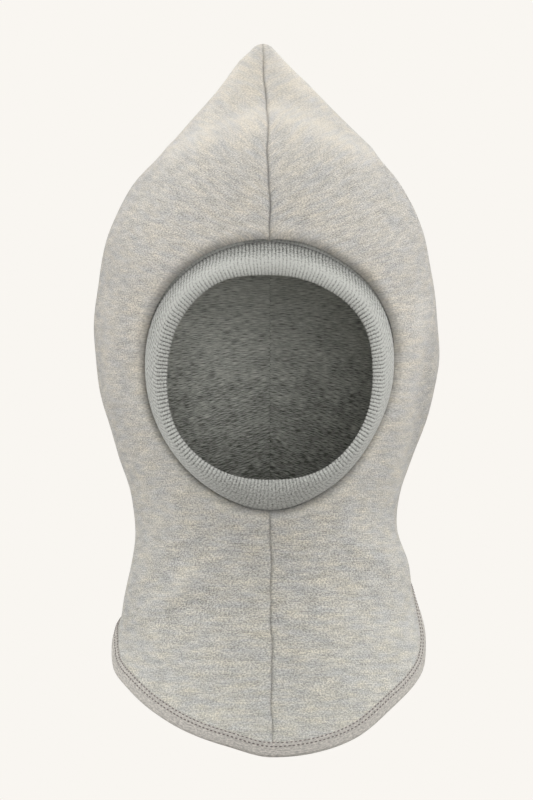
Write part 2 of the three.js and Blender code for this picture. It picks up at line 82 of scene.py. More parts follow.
def smooth_curve(xs, ys):
    """A curve through points: y = cubic Hermite pieces whose slope at a point is that of the parabola
    through it and its two neighbours."""
    order = np.argsort(xs)
    xs, ys = np.asarray(xs, float)[order], np.asarray(ys, float)[order]
    step, rise = np.diff(xs), np.diff(ys) / np.diff(xs)
    inner = (step[1:] * rise[:-1] + step[:-1] * rise[1:]) / (step[1:] + step[:-1])
    slope = np.concatenate([rise[:1], inner, rise[-1:]])

    def at(x):
        x = np.clip(x, xs[0], xs[-1])
        i = np.clip(np.searchsorted(xs, x) - 1, 0, len(step) - 1)
        t = (x - xs[i]) / step[i]
        bend = step[i] * t * (1 - t) * (slope[i] * (1 - t) - slope[i + 1] * t)
        return ys[i] * (1 - t) ** 2 * (1 + 2 * t) + ys[i + 1] * t * t * (3 - 2 * t) + bend

    return at


section = {
    name: smooth_curve(list(SECTIONS), [row[k] for row in SECTIONS.values()])
    for k, name in enumerate(SECTION_NAMES)
}
print("widest section:", max(sum(row[:2]) for row in SECTIONS.values()), "mm")

# %% [markdown]
# Two more tables follow the same seams round the hood: the face edge with the free rim of the cuff, as
# radii round the middle of the face, and the height of the hem. They run from one seam to the other and
# are mirrored at both ends, so that their curves cross a seam square to it, as cut cloth does.

# %% Face and hem lines
FACE_Z = -118
FACE_ANGLES = (0, 30, 60, 90, 120, 150, 180)
FACE_EDGE = {
    "left": (68.6, 69, 68, 64.4, 62.8, 64.4, 67),
    "right": (68.6, 68.2, 68.2, 63.2, 61, 63.8, 67),
}
CUFF_RIM = {
    "left": (48.2, 51, 50.8, 49.8, 52.2, 51.8, 50.4),
    "right": (48.2, 49.4, 51.4, 49.6, 50.8, 51.8, 50.4),
}
HEM_ANGLES = tuple(range(0, 181, 15))
HEM_Z = {
    "left": (-301.5, -296.6, -290, -280.6, -270.6, -262, -250, -244.6, -249, -260, -270, -279, -283),
    "right": (-301.5, -299.4, -292.8, -280.2, -269.2, -257, -236, -225, -234, -251, -266, -277.6, -283),
}


def seam_to_seam(angles, values):
    """A smooth curve over 0 to 180 degrees whose table is mirrored at both ends."""
    angles, values = np.array(angles, float), np.array(values, float)
    around = np.concatenate([-angles[2:0:-1], angles, 360 - angles[-2:-4:-1]])
    return smooth_curve(around, np.concatenate([values[2:0:-1], values, values[-2:-4:-1]]))


face_edge = {side: seam_to_seam(FACE_ANGLES, FACE_EDGE[side]) for side in SIDES}
cuff_rim = {side: seam_to_seam(FACE_ANGLES, CUFF_RIM[side]) for side in SIDES}
hem_z = {side: seam_to_seam(HEM_ANGLES, HEM_Z[side]) for side in SIDES}
print("face opening:", CUFF_RIM["left"][0] + CUFF_RIM["left"][-1], "mm high inside the cuff")

# %% The skin and the way down it


def smooth_step(x, low, high):
    """0 below low, 1 above high and 3t^2 - 2t^3 between."""
    t = np.clip((x - low) / (high - low), 0, 1)
    return t * t * (3 - 2 * t)


def unit(vectors):
    """Each vector over its own length."""
    return vectors / np.linalg.norm(vectors, axis=-1, keepdims=True)


def peak_rounding(z):
    """The share of a section left near the peak, where the cone ends in a ball: sqrt(2 R q - q^2) over
    the cone's own radius at q below the top."""
    q = np.maximum(PEAK_Z - z, 1e-9)
    tangent = PEAK_RADIUS * (1 - np.sin(PEAK_HALF_ANGLE))
    apex = PEAK_RADIUS * (1 / np.sin(PEAK_HALF_ANGLE) - 1)
    near = np.minimum(q, tangent)
    ball = np.sqrt(2 * PEAK_RADIUS * near - near * near) / ((near + apex) * np.tan(PEAK_HALF_ANGLE))
    return np.where(q > tangent, 1.0, ball)


def skin(side, turn, z):
    """x = seam + side * k * W * sin(turn), y = mid - k * D * cos(turn), with W and D the section's width
    and depth and k the rounding. turn is 0 at the front seam and pi at the back seam."""
    share, mid = peak_rounding(z), section["mid"](z)
    depth = np.where(np.cos(turn) > 0, mid + section["front"](z), section["back"](z) - mid)
    x = section["seam"](z) + SIDES[side] * share * section[side](z) * np.sin(turn)
    return np.stack([x, mid - share * depth * np.cos(turn), z + 0 * turn], -1)


way_z = PEAK_Z + (BOTTOM_Z - PEAK_Z) * np.linspace(0, 1, 1601) ** 1.6
way_radius = peak_rounding(way_z) * sum(section[n](way_z) for n in SECTION_NAMES[:4]) / 4
way_down = np.concatenate([[0], np.cumsum(np.hypot(np.diff(way_z), np.diff(way_radius)))])


def down_of(z):
    """How far down the skin a height is reached, from the peak, along its mean radius."""
    return np.interp(-z, -way_z, way_down)


def z_of(down):
    """The height that is reached a given way down the skin."""
    return np.interp(down, way_down, way_z)


print("way down the skin from peak to hem:", round(float(way_down[-1])), "mm")

# %% [markdown]
# A panel isn't a rectangle, so its grid is laid out on a flat sheet first: the skin opened like a paper
# cone round the peak. Lines leave the face edge square to it and bend to the back seam and the hem. Above
# a belt over the ears a second patch runs straight on to the peak, so the peak gets a clean round end
# instead of a pinched corner.

# %% The panel's layout
SHEET_ANGLE, LINE_REACH = 0.44, 42
BACK_SHARE, BELT_BACK_Z, BELT_SLANT, SLANT_SHARE = 0.55, -44, 0.8, 0.3
LIP_RADIUS = 5


def on_sheet(turn, z):
    """Polar coordinates on the opened cone: p = d(z) * (cos(k turn), sin(k turn))."""
    return down_of(z)[..., None] * np.stack([np.cos(SHEET_ANGLE * turn), np.sin(SHEET_ANGLE * turn)], -1)


def off_sheet(point):
    """The turn and the height of a point on the opened cone."""
    turn = np.clip(np.arctan2(point[..., 1], point[..., 0]) / SHEET_ANGLE, 0, np.pi)
    return turn, z_of(np.linalg.norm(point, axis=-1))


def edge_on_sheet(side, u):
    """The face edge, with u from 0 at the crown seam to 1 at the chin seam."""
    around = np.pi * np.abs(u)
    radius = face_edge[side](np.degrees(around))
    z = FACE_Z + radius * np.cos(around)
    point = on_sheet(np.arcsin(np.clip(np.abs(radius * np.sin(around)) / section[side](z), 0, 1)), z)
    point[..., 1] *= np.where((u < 0) | (u > 1), -1, 1)
    return point


def far_on_sheet(side, u):
    """The far edge: down the back seam from the belt, then along the hem to the chin seam."""
    belt_down, hem_down = down_of(np.array(BELT_BACK_Z)), down_of(hem_z[side](180.0))
    down = belt_down + u / BACK_SHARE * (hem_down - belt_down)
    end = SHEET_ANGLE * np.pi
    back = down[..., None] * np.array([np.cos(end), np.sin(end)])
    turn = np.pi * (1 - u) / (1 - BACK_SHARE)
    hem = on_sheet(turn, hem_z[side](np.degrees(np.clip(turn, 0, np.pi))))
    return np.where((u > BACK_SHARE)[..., None], hem, back)


def side_patch(side, u, v):
    """p = (1-v)^2 edge + 2 v (1-v) (edge + reach * outward) + v^2 far, read back as turn and height."""
    u, v = np.broadcast_arrays(u, v)
    edge = edge_on_sheet(side, u)
    along = edge_on_sheet(side, u + 1e-4) - edge_on_sheet(side, u - 1e-4)
    outward = unit(np.stack([-along[..., 1], along[..., 0]], -1))
    slant = -BELT_SLANT * (1 - smooth_step(u, 0, SLANT_SHARE))
    x = outward[..., 0] * np.cos(slant) - outward[..., 1] * np.sin(slant)
    y = outward[..., 0] * np.sin(slant) + outward[..., 1] * np.cos(slant)
    control = edge + LINE_REACH * np.stack([x, y], -1)
    v = v[..., None]
    return off_sheet((1 - v) ** 2 * edge + 2 * v * (1 - v) * control + v * v * far_on_sheet(side, u))


def crown_patch(side, w, v):
    """The belt's points drawn straight up the cone: the same turn, the way down times 1 - w."""
    turn, z = side_patch(side, np.zeros_like(v), v)
    return turn + 0 * w, z_of(down_of(z) * (1 - w))


# %% Grid stations
# How many stations a stretch has at full detail, and the fine ones at an end: first share, growth, count.
ACROSS, DOWN_BACK, ALONG_HEM, UP_TO_PEAK = 78, 86, 105, 66
TO_BACK, TO_CHIN, TO_HEM, PAST_HEM = (0.001, 1.5, 10), (0.0004, 1.5, 11), (0.002, 1.6, 5), (0.0004, 1.5, 10)
BELT_SHARE, UP_POWER = 0.035, 0.8


def closing_in(start, factor, count):
    """Distances that grow by a factor: start, start f, start f^2 and so on, after a first 0."""
    return np.concatenate([[0], start * factor ** np.arange(count)])


def stations(detail):
    """Shares across, round the face and up to the peak, close together at seams, lip, hem and peak."""
    at_start = 4 + int(6 * detail)
    lip = LIP_RADIUS / (2 * LINE_REACH) * (1 - np.cos(np.linspace(0, np.pi / 2, at_start)))
    to_back, to_chin = (1 - closing_in(*row)[::-1] for row in (TO_BACK, TO_CHIN))
    across = np.concatenate([lip, np.linspace(lip[-1], to_back[0], int(ACROSS * detail))[1:-1], to_back])
    to_hem = BACK_SHARE - closing_in(*TO_HEM)[::-1]
    past_hem = BACK_SHARE + closing_in(*PAST_HEM)[1:]
    around = np.concatenate([
        np.linspace(0, to_hem[0], int(DOWN_BACK * detail))[:-1],
        to_hem,
        past_hem,
        np.linspace(past_hem[-1], to_chin[0], int(ALONG_HEM * detail))[1:-1],
        to_chin,
    ])
    start = np.linspace(0, 1, at_start)[1:] ** 2 * BELT_SHARE
    rest = np.linspace(start[-1] ** (1 / UP_POWER), 1, int(UP_TO_PEAK * detail))[1:] ** UP_POWER
    up = np.concatenate([start, rest])
    return across, around, up


def panel_grid(side, detail):
    """The places of a panel's points, as turn and height, and its faces, turned outwards: quads over both
    patches and a fan of triangles round the peak."""
    across, around, up = stations(detail)
    n, m, k = len(across), len(around), len(up) - 1
    turn_a, z_a = side_patch(side, around[:, None], across[None, :])
    turn_b, z_b = crown_patch(side, up[:-1, None], across[None, :])
    turn = np.concatenate([turn_a.ravel(), turn_b.ravel(), [0]])
    z = np.concatenate([z_a.ravel(), z_b.ravel(), [PEAK_Z]])
    side_rows = np.arange(m) * n
    crown_rows = np.concatenate([[0], (m + np.arange(k)) * n])
    low = np.concatenate([side_rows[:-1], crown_rows[1:]])[:, None] + np.arange(n - 1)
    high = np.concatenate([side_rows[1:], crown_rows[:-1]])[:, None] + np.arange(n - 1)
    quads = np.stack([low, high, high + 1, low + 1], -1).reshape(-1, 4)
    last = crown_rows[-1] + np.arange(n - 1)
    fan = np.stack([np.full(n - 1, len(z) - 1), last, last + 1], -1)
    if side == "left":
        quads, fan = quads[:, ::-1], fan[:, ::-1]
    return turn, z, [quads, fan]


print("stations:", [len(s) for s in stations(1)])

# %% [markdown]
# A mesh is made of flat lists of corners. These helpers turn arrays of points and faces into a mesh, work
# out normals at the points, and close the rim between two layers of cloth by joining every edge that has a
# face on one side only.

# %% Mesh helpers


def way_along(points):
    """How far each point of a line lies from its first one, along the line."""
    return np.concatenate([[0], np.linalg.norm(np.diff(points, axis=0), axis=1).cumsum()])


def point_normals(points, faces):
    """n = the sum of the area-weighted normals of the faces round a point, made length 1."""
    total = np.zeros_like(points)
    for f in faces:
        a, b, c = points[f[:, 0]], points[f[:, 1]], points[f[:, 2]]
        d = points[f[:, 3]] if f.shape[1] == 4 else a
        normal = np.cross(c - a, d - b)
        for corner in f.T:
            np.add.at(total, corner, normal)
    return unit(total)


def rim_quads(faces, offset):
    """For each edge a-b that only one face uses, the quad b, a, a + offset, b + offset."""
    pairs = np.concatenate([np.stack([f, np.roll(f, -1, 1)], -1).reshape(-1, 2) for f in faces])
    size = offset + 1
    once = ~np.isin(pairs[:, 1] * size + pairs[:, 0], pairs[:, 0] * size + pairs[:, 1])
    a, b = pairs[once].T
    return np.stack([b, a, a + offset, b + offset], -1)


def grid_faces(rows, columns, closed=False):
    """Quads of a grid, row by row, which may close both ways."""
    i, j = np.meshgrid(np.arange(rows - (not closed)), np.arange(columns - (not closed)), indexing="ij")
    a, b = (i + 1) % rows, (j + 1) % columns
    return np.stack([i * columns + j, i * columns + b, a * columns + b, a * columns + j], -1).reshape(-1, 4)


def make_mesh(name, points, faces, uv=None, sharp=50, shares=None):
    """Puts points in mm, faces and an optional uv, for each point or each corner, into a new object. Edges
    sharper than an angle stay sharp. shares are named values from 0 to 1 for each point, for a finish."""
    mesh = bpy.data.meshes.new(name)
    corners = np.concatenate([f.ravel() for f in faces]).astype(np.int32)
    sizes = np.concatenate([np.full(len(f), f.shape[1]) for f in faces])
    mesh.vertices.add(len(points))
    mesh.vertices.foreach_set("co", (points * MM).astype(np.float32).ravel())
    mesh.loops.add(len(corners))
    mesh.loops.foreach_set("vertex_index", corners)
    mesh.polygons.add(len(sizes))
    mesh.polygons.foreach_set("loop_start", (np.cumsum(sizes) - sizes).astype(np.int32))
    mesh.update(calc_edges=True)
    mesh.polygons.foreach_set("use_smooth", np.ones(len(sizes), bool))
    if uv is not None:
        layer = mesh.uv_layers.new(name="cloth")
        at_corners = uv[corners] if len(uv) == len(points) else uv
        layer.data.foreach_set("uv", (at_corners * MM).astype(np.float32).ravel())
    for key, share in (shares or {}).items():
        mesh.attributes.new(key, "FLOAT", "POINT").data.foreach_set("value", share.astype(np.float32))
    mesh.validate()
    mesh.set_sharp_from_angle(angle=np.radians(sharp))
    piece = bpy.data.objects.new(name, mesh)
    bpy.context.scene.collection.objects.link(piece)
    print(name, "points", len(points), "triangles", int((sizes - 2).sum()))
    return piece


def waves(points, length, seed, count=24):
    """A smooth random swell: the sum of sines of plane waves of about one length in random directions, over
    the root of their number."""
    random = np.random.default_rng(seed)
    way = random.normal(size=(count, 3))
    way = unit(way) * (2 * np.pi / length) * random.uniform(0.7, 1.4, (count, 1))
    return np.sin(points @ way.T + random.uniform(0, 2 * np.pi, count)).sum(1) / np.sqrt(count)


# %% [markdown]
# The outer face of a panel is the skin plus height: soft folds where the fleece bulges under the peak and
# beside the cheek, drag lines at the shoulders, a valley at each seam, a slight flare at the hem, and a
# rolled lip where the fleece turns in to meet the cuff. Each is a short formula of the distance to its
# line, so they can be added up.

# %% Heights over the skin
# Folds: x0, z0, x1, z1, width, height. Each lies along a line seen from the front.
FOLDS = (
    (74, -88, 64, -176, 6, 1.9),
    (83, -104, 70, -160, 5, -1),
    (-80, -84, -76, -128, 5, 1),
    (-46, -7, -5, 10, 6.5, 2.2),
    (47, -8, 4, 10, 6.5, 2.2),
    (-68, -232, -38, -200, 5, -0.9),
    (-70, -243, -28, -228, 5, -0.9),
    (-64, -238, -36, -215, 5, 0.8),
    (66, -222, 38, -206, 5, -0.8),
    (70, -246, 34, -238, 6, 0.7),
)
SEAM_DEPTH, SEAM_WIDTH = 1.3, 6.5
CREASE_DEPTH, CREASE_WIDTH = 1.1, 0.65
PUCKER, PUCKER_PITCH, PUCKER_REACH, PUCKER_DRIFT, PUCKER_SEED = 0.22, 5, 4, 30, 8
SWELL, SWELL_LENGTH, SWELL_SEED = 0.45, 42, 3
SEAM_WOBBLE = 0.35
FLARE, FLARE_REACH = {"left": 2.7, "right": 1.3}, 7


def above_hem(side, turn, z):
    """How far above the hem edge a place lies, along the way down the skin."""
    return down_of(hem_z[side](np.degrees(turn))) - down_of(z)


def roll(distance):
    """A quarter round: depth = R - sqrt(R^2 - (R - d)^2)."""
    d = np.clip(distance, 0, LIP_RADIUS)
    return LIP_RADIUS - np.sqrt(np.maximum(LIP_RADIUS**2 - (LIP_RADIUS - d) ** 2, 0))


def edge_point(side, u):
    """A point of the bare skin on the face edge."""
    return skin(side, *off_sheet(edge_on_sheet(side, u)))


def from_face(side, point):
    """The distance from the face edge, along the line from the face's middle."""
    x = np.abs(point[:, 0] - section["seam"](point[:, 2]))
    return np.linalg.norm(point - edge_point(side, np.arctan2(x, point[:, 2] - FACE_Z) / np.pi), axis=1)


def fold_height(point, turn):
    """The sum of h * exp(-(d / w)^2) over the folds, fading out behind the side line."""
    total = np.zeros(len(point))
    for x0, z0, x1, z1, width, height in FOLDS:
        dx, dz = x1 - x0, z1 - z0
        along = ((point[:, 0] - x0) * dx + (point[:, 2] - z0) * dz) / (dx * dx + dz * dz)
        t = np.clip(along, 0, 1)
        away = np.hypot(point[:, 0] - x0 - t * dx, point[:, 2] - z0 - t * dz)
        total += height * np.exp(-((away / width) ** 2))
    return total * smooth_step(np.cos(turn), -0.05, 0.3)


def seam_height(point, from_seam):
    """The valley -D (1 - d / W)^2 at a seam, the needle line -C exp(-d / c) in it, and small puckers
    across it, P exp(-d / 4) sin(2 pi h / 5), whose places drift a little."""
    valley = -SEAM_DEPTH * np.maximum(0, 1 - from_seam / SEAM_WIDTH) ** 2
    crease = -CREASE_DEPTH * np.exp(-from_seam / CREASE_WIDTH)
    rise = point[:, 2] - 0.3 * point[:, 1]
    pucker = np.sin(2 * np.pi * rise / PUCKER_PITCH + 2 * waves(point, PUCKER_DRIFT, PUCKER_SEED))
    pucker *= PUCKER * np.exp(-from_seam / PUCKER_REACH) * smooth_step(from_seam, 0, 1.5)
    return valley + crease + pucker


def seam_wobble(z, from_seam):
    """A sewn seam never runs quite straight: W (sin(z / 7) + 0.6 sin(z / 3.1)) exp(-d / 5) sideways."""
    return SEAM_WOBBLE * (np.sin(z / 7) + 0.6 * np.sin(z / 3.1)) * np.exp(-from_seam / 5)


def outer_face(side, turn, z, faces, sewn=True):
    """The panel's outer face: the skin moved along its normal by the sum of all heights. Before it is sewn
    it has no seam valley yet."""
    point = skin(side, turn, z)
    normal = point_normals(point, faces)
    from_seam = np.abs(point[:, 0] - section["seam"](z))
    hem_share = np.exp(-((above_hem(side, turn, z) / FLARE_REACH) ** 2))
    peak_share = smooth_step(PEAK_Z - z, 0, 12)
    lip = np.where(turn < np.pi / 2, roll(from_face(side, point)), 0)
    height = fold_height(point, turn) + FLARE[side] * hem_share * np.sin(turn) - lip
    height += SWELL * waves(point, SWELL_LENGTH, SWELL_SEED) * peak_share * smooth_step(from_seam, 0, 12)
    sewn_share = sewn * peak_share * (1 - hem_share)
    height += seam_height(point, from_seam) * sewn_share
    moved = point + normal * height[:, None]
    moved[:, 0] += seam_wobble(z, from_seam) * sewn_share
    return moved


print("folds:", len(FOLDS), "swell:", SWELL, "mm")

# %% [markdown]
# The knit has a direction: its columns run straight up and down beside the ears, where the pattern piece
# lies square to the cloth, so they meet the crown seam slanting at about 45 degrees and lie level on the
# bib. That comes from unrolling the skin from the side line, and it goes into the piece's own UV map, in
# metres of cloth, so that weave and streaks keep their real size.

# %% Cloth coordinates


def cloth_uv(side, turn, z):
    """U = sin(a c) / c and V = -s + (1 - cos(a c)) / c, with a the arc from the side line, s the way down
    and c = (1 - S(s)) / (s + 10) the bend of a level line on the opened cone, fading out below the ears."""
    s = down_of(z)
    c = np.maximum((1 - smooth_step(s, 50, 240)) / (s + 10), 1e-5)
    a = np.interp(s, way_down, way_radius) * (np.pi / 2 - turn)
    return np.stack([-SIDES[side] * np.sin(a * c) / c, -s + (1 - np.cos(a * c)) / c], -1)


# %% [markdown]
# A cloth is now two copies of its outer face at two depths, with the rim closed. The fleece is 2.4 mm
# thick and is pressed to half of that at the hem. Inside the peak the skin is tighter than the cloth is
# thick, so there the layers shrink towards a point inside it instead of following the normals.

# %% Layers of cloth
FLEECE, LINING, GAP = 2.4, 1.2, 0.35
HEM_FLEECE, HEM_LINING, HEM_REACH = 1.3, 0.8, 9
CORE_BELOW, CORE_SHRINK = 14, 9
SHADED_LIP, SHADED_SEAM = 4.2, 0.45


def layer(face, normal, depth):
    """A point under the outer face: p - n d, blended near the peak with the face shrunk by the share d / 9
    towards a core."""
    core = np.array([section["seam"](PEAK_Z), section["mid"](PEAK_Z), PEAK_Z - CORE_BELOW])
    shrunk = core + (face - core) * (1 - depth / CORE_SHRINK)[:, None]
    share = smooth_step(PEAK_Z - face[:, 2], 8, 26)[:, None]
    return shrunk * (1 - share) + (face - normal * depth[:, None]) * share


def pressed(side, turn, z, full, at_hem):
    """A thickness that falls to its hem value over the last few millimetres."""
    return at_hem + (full - at_hem) * smooth_step(above_hem(side, turn, z), 0, HEM_REACH)


def cloth(name, side, detail, inside):
    """A closed piece of cloth: the fleece or, inside it, the lining. Depths are measured from the face
    before it is sewn, so only the outermost layer shows the seams."""
    turn, z, faces = panel_grid(side, detail)
    face = outer_face(side, turn, z, faces, False)
    normal = point_normals(face, faces)
    normal[np.sin(turn) < 1e-6, 0] = 0
    normal = unit(normal)
    normal[-1] = (0, 0, 1)
    shown, bottom = outer_face(side, turn, z, faces), pressed(side, turn, z, FLEECE, HEM_FLEECE)
    if inside:
        top = bottom + GAP
        shown, bottom = layer(face, normal, top), top + pressed(side, turn, z, LINING, HEM_LINING)
    points = np.concatenate([shown, layer(face, normal, bottom)])
    uv = cloth_uv(side, turn, z)
    bare = skin(side, turn, z)
    # Shares for painted light and shade in the finishes: by_cuff and by_seam for painted shade beside the
    # cuff and in the seams, raised for painted light on fold ridges and painted shade in fold hollows.
    by_cuff = np.where(turn < np.pi / 2, np.exp(-((from_face(side, bare) / SHADED_LIP) ** 2)), 0)
    raised = np.clip(0.5 + fold_height(bare, turn) / 4, 0, 1)
    by_seam = np.exp(-((np.abs(bare[:, 0] - section["seam"](z)) / SHADED_SEAM) ** 2))
    shares = {"by_cuff": by_cuff, "by_seam": by_seam, "raised": raised}
    shares = {key: np.tile(share, 2) for key, share in shares.items()}
    inner = [f[:, ::-1] + len(z) for f in faces]
    all_faces = [np.concatenate([f, g]) for f, g in zip(faces, inner)]
    all_faces[0] = np.concatenate([all_faces[0], rim_quads(faces, len(z))])
    return make_mesh(name, points, all_faces, np.concatenate([uv, uv]), shares=shares)


fleece_panels = {side: cloth(f"fleece_{side}", side, 1.0, False) for side in SIDES}
lining_panels = {side: cloth(f"jersey_{side}", side, 0.6, True) for side in SIDES}

# %% [markdown]
# The cuff is a tube of rib knit folded double. Its section starts under the rolled lip, which leaves a
# shaded valley above the brow, rises to a crest and curls in to the rim. The ribs are real relief, about
# 180 rounded ridges that catch the light one by one. The cuff is stretched round a larger seam than its
# rim, and that drags the ribs: between seam and crest they slant towards the chin, as on the real one.

# %% The rib cuff
CUFF_THICK, CUFF_WIDTH, ALLOWANCE, ALLOWANCE_THICK, CUFF_RISE = 3.0, 19, 4.6, 1.6, 6.5
CUFF_FORM = {
    "sink": (2.6, 2.3, 1.6, 1.1, 0.9, 0.9, 0.9),
    "lean": (54, 47, 30, 16, 8, 2, 0),
    "crest": (2.6, 2.4, 2, 1.8, 1.6, 1.6, 1.6),
    "back": (0.25, 0.25, 0.26, 0.27, 0.3, 0.3, 0.3),
}
RIBS, RIB_HEIGHT, RIB_ROUNDNESS, BACK_RELIEF = 184, 0.32, 0.7, 0.6
# Ribs are dragged near the seam, stand out at the rim and are calmer at the chin: how much, and between
# which shares of the way to the rim, or which cosines of the angle from the chin.
RIB_DRAG, DRAGGED = 0.17, (0.1, 0.8)
RIM_MORE, AT_RIM = 0.9, (0.72, 0.85)
CHIN_CALM, NEAR_CHIN = 0.35, (0.3, 0.9)
PER_RIB, ALONG_CUFF = 8, 26
# Corners of the allowance under the cuff: across the edge and into the hood.
CUFF_FOOT = (
    (GAP + CUFF_THICK, ALLOWANCE_THICK),
    (-ALLOWANCE, ALLOWANCE_THICK),
    (-ALLOWANCE, 0),
    (GAP - 0.1, 0),
)
cuff_form = {name: seam_to_seam(FACE_ANGLES, row) for name, row in CUFF_FORM.items()}


def bezier(p0, p1, p2, p3, t):
    """b = (1-t)^3 p0 + 3 (1-t)^2 t p1 + 3 (1-t) t^2 p2 + t^3 p3, and its tangent of length 1."""
    s = 1 - t
    b = s**3 * p0 + 3 * s * s * t * p1 + 3 * s * t * t * p2 + t**3 * p3
    d = s * s * (p1 - p0) + 2 * s * t * (p2 - p1) + t * t * (p3 - p2)
    return b, unit(d)


def face_line(count):
    """The face edge all the way round, sunk by the lip: points, skin normals and cuff radii, with the
    angle running clockwise from the top."""
    angle = np.arange(count) * 360 / count
    near = 1e-3
    points, normals, rims = np.zeros((count, 3)), np.zeros((count, 3)), np.zeros(count)
    for side, chosen in (("right", angle <= 180), ("left", angle > 180)):
        u = np.where(angle[chosen] <= 180, angle[chosen], 360 - angle[chosen]) / 180
        brow, chin = u < near, u > 1 - near
        grid = side_patch(side, u[:, None], np.array([0, near])[None, :])
        p = skin(side, *grid)
        ahead, behind = (skin(side, *side_patch(side, u + d, np.zeros_like(u))) for d in (near, -near))
        behind[brow] = 2 * p[brow, 0] - ahead[brow]
        ahead[chin] = 2 * p[chin, 0] - behind[chin]
        n = SIDES[side] * np.cross(ahead - behind, p[:, 1] - p[:, 0])
        n[brow | chin, 0] = 0
        n = unit(n)
        points[chosen] = p[:, 0] + n * (fold_height(p[:, 0], grid[0][:, 0]) - LIP_RADIUS)[:, None]
        normals[chosen], rims[chosen] = n, cuff_rim[side](180 * u)
    return angle, points, normals, rims


def cuff(name):
    """Sections in planes through the face's axis, one for every step round, carried along the edge."""
    angle, point, normal, rim = face_line(RIBS * PER_RIB)
    axis = np.stack([0 * rim + section["seam"](FACE_Z), point[:, 1], 0 * rim + FACE_Z], -1)
    inward = axis - point
    reach = np.linalg.norm(inward, axis=1)
    inward /= reach[:, None]
    out = unit(np.stack([(normal * inward).sum(1), -normal[:, 1]], -1))
    across = np.stack([out[:, 1], -out[:, 0]], -1)
    half, drop = CUFF_THICK / 2, reach - rim
    lift = np.sqrt(np.maximum(CUFF_WIDTH**2 - drop**2, 0))
    from_top = np.minimum(angle, 360 - angle)
    sink, lean, crest, back_share = (curve(from_top)[:, None] for curve in cuff_form.values())
    lean = np.radians(lean)
    start = across * (GAP + half) - out * sink
    end = np.stack([drop - half, lift], -1)
    over = end + np.concatenate([-back_share * drop[:, None], crest], -1)
    ways = start, start + CUFF_RISE * (across * np.sin(lean) + out * np.cos(lean)), over, end
    t = np.linspace(0, 1, ALONG_CUFF)
    middle, tangent = bezier(*(w[:, None] for w in ways), t[None, :, None])
    sideways = np.stack([-tangent[..., 1], tangent[..., 0]], -1)
    turn = np.radians(angle)[:, None]
    drag = RIB_DRAG * (1 - smooth_step(t, *DRAGGED))
    count = RIBS / (2 * np.pi) * (turn + drag * np.sin(turn))
    wave = np.abs(np.cos(np.pi * count)) ** RIB_ROUNDNESS
    strength = smooth_step(t, 0, 0.1) * (0.5 + RIM_MORE * smooth_step(t, *AT_RIM))
    calm = 1 - CHIN_CALM * smooth_step(-np.cos(turn), *NEAR_CHIN)
    relief = RIB_HEIGHT * (wave - 1) * strength * calm
    front = middle + sideways * (half + relief)[..., None]
    back = (middle - sideways * (half + BACK_RELIEF * relief)[..., None])[:, ::-1]
    round_end = np.linspace(0, np.pi, 9)[1:-1, None]
    tip = (half + relief[:, -1:])[..., None]
    arc = sideways[:, -1:] * np.cos(round_end) + tangent[:, -1:] * np.sin(round_end)
    nose = middle[:, -1:] + tip * arc
    foot = np.stack([across * a - out * (sink + b) for a, b in CUFF_FOOT], 1)
    flat = np.concatenate([front, nose, back[:, 1:], foot], 1)
    points = point[:, None] + inward[:, None] * flat[..., :1] + np.array([0, -1, 0]) * flat[..., 1:]
    length = way_along(flat[0])
    print("cuff: way from seam to rim", round(float(length[ALONG_CUFF - 1]), 1), "mm")
    shown = np.concatenate([count, np.repeat(count[:, -1:], flat.shape[1] - ALONG_CUFF, 1)], 1)
    uv = np.stack(np.broadcast_arrays(shown, length[None, :]), -1)
    return ring_mesh(name, points, uv, RIBS)


def ring_mesh(name, points, uv, period):
    """A grid of points that is closed both ways, as a piece. In the band that closes it, u goes on past
    the last row by the row's own period instead of jumping back to its start."""
    quads = grid_faces(*points.shape[:2], closed=True)
    at_corners = uv.reshape(-1, 2)[quads]
    at_corners[-points.shape[1]:, 2:, 0] += period
    return make_mesh(name, points.reshape(-1, 3), [quads], at_corners.reshape(-1, 2), 60)


rib_cuff = cuff("rib_cuff")

# %% [markdown]
# The hem is bound with a narrow strip of jersey, folded over both cloths and stitched down. Its section is
# a thick U: up the outside, round the edge and up the inside. It is carried along the hem of one panel
# from the back seam to the chin and back along the other, and is shared where the panels meet.

# %% The hem strip
STRIP_WIDTH, STRIP_THICK, STRIP_GAP = 6.2, 0.6, 0.05
THINNED, THINNED_FROM = 0.8, 5.0
FOLD_ROUND, FOLD_HOLLOW = 0.6, 0.5
HEM_STATIONS, HEM_CLOSER, HEM_SHARE, SHORTEST_LINE = 360, 0.25, 0.02, 0.4


def strip_height(ways):
    """How far the strip's face stands off the cloth: it thins towards its sewn edge."""
    return STRIP_GAP + STRIP_THICK * (1 - THINNED * smooth_step(ways, THINNED_FROM, STRIP_WIDTH))


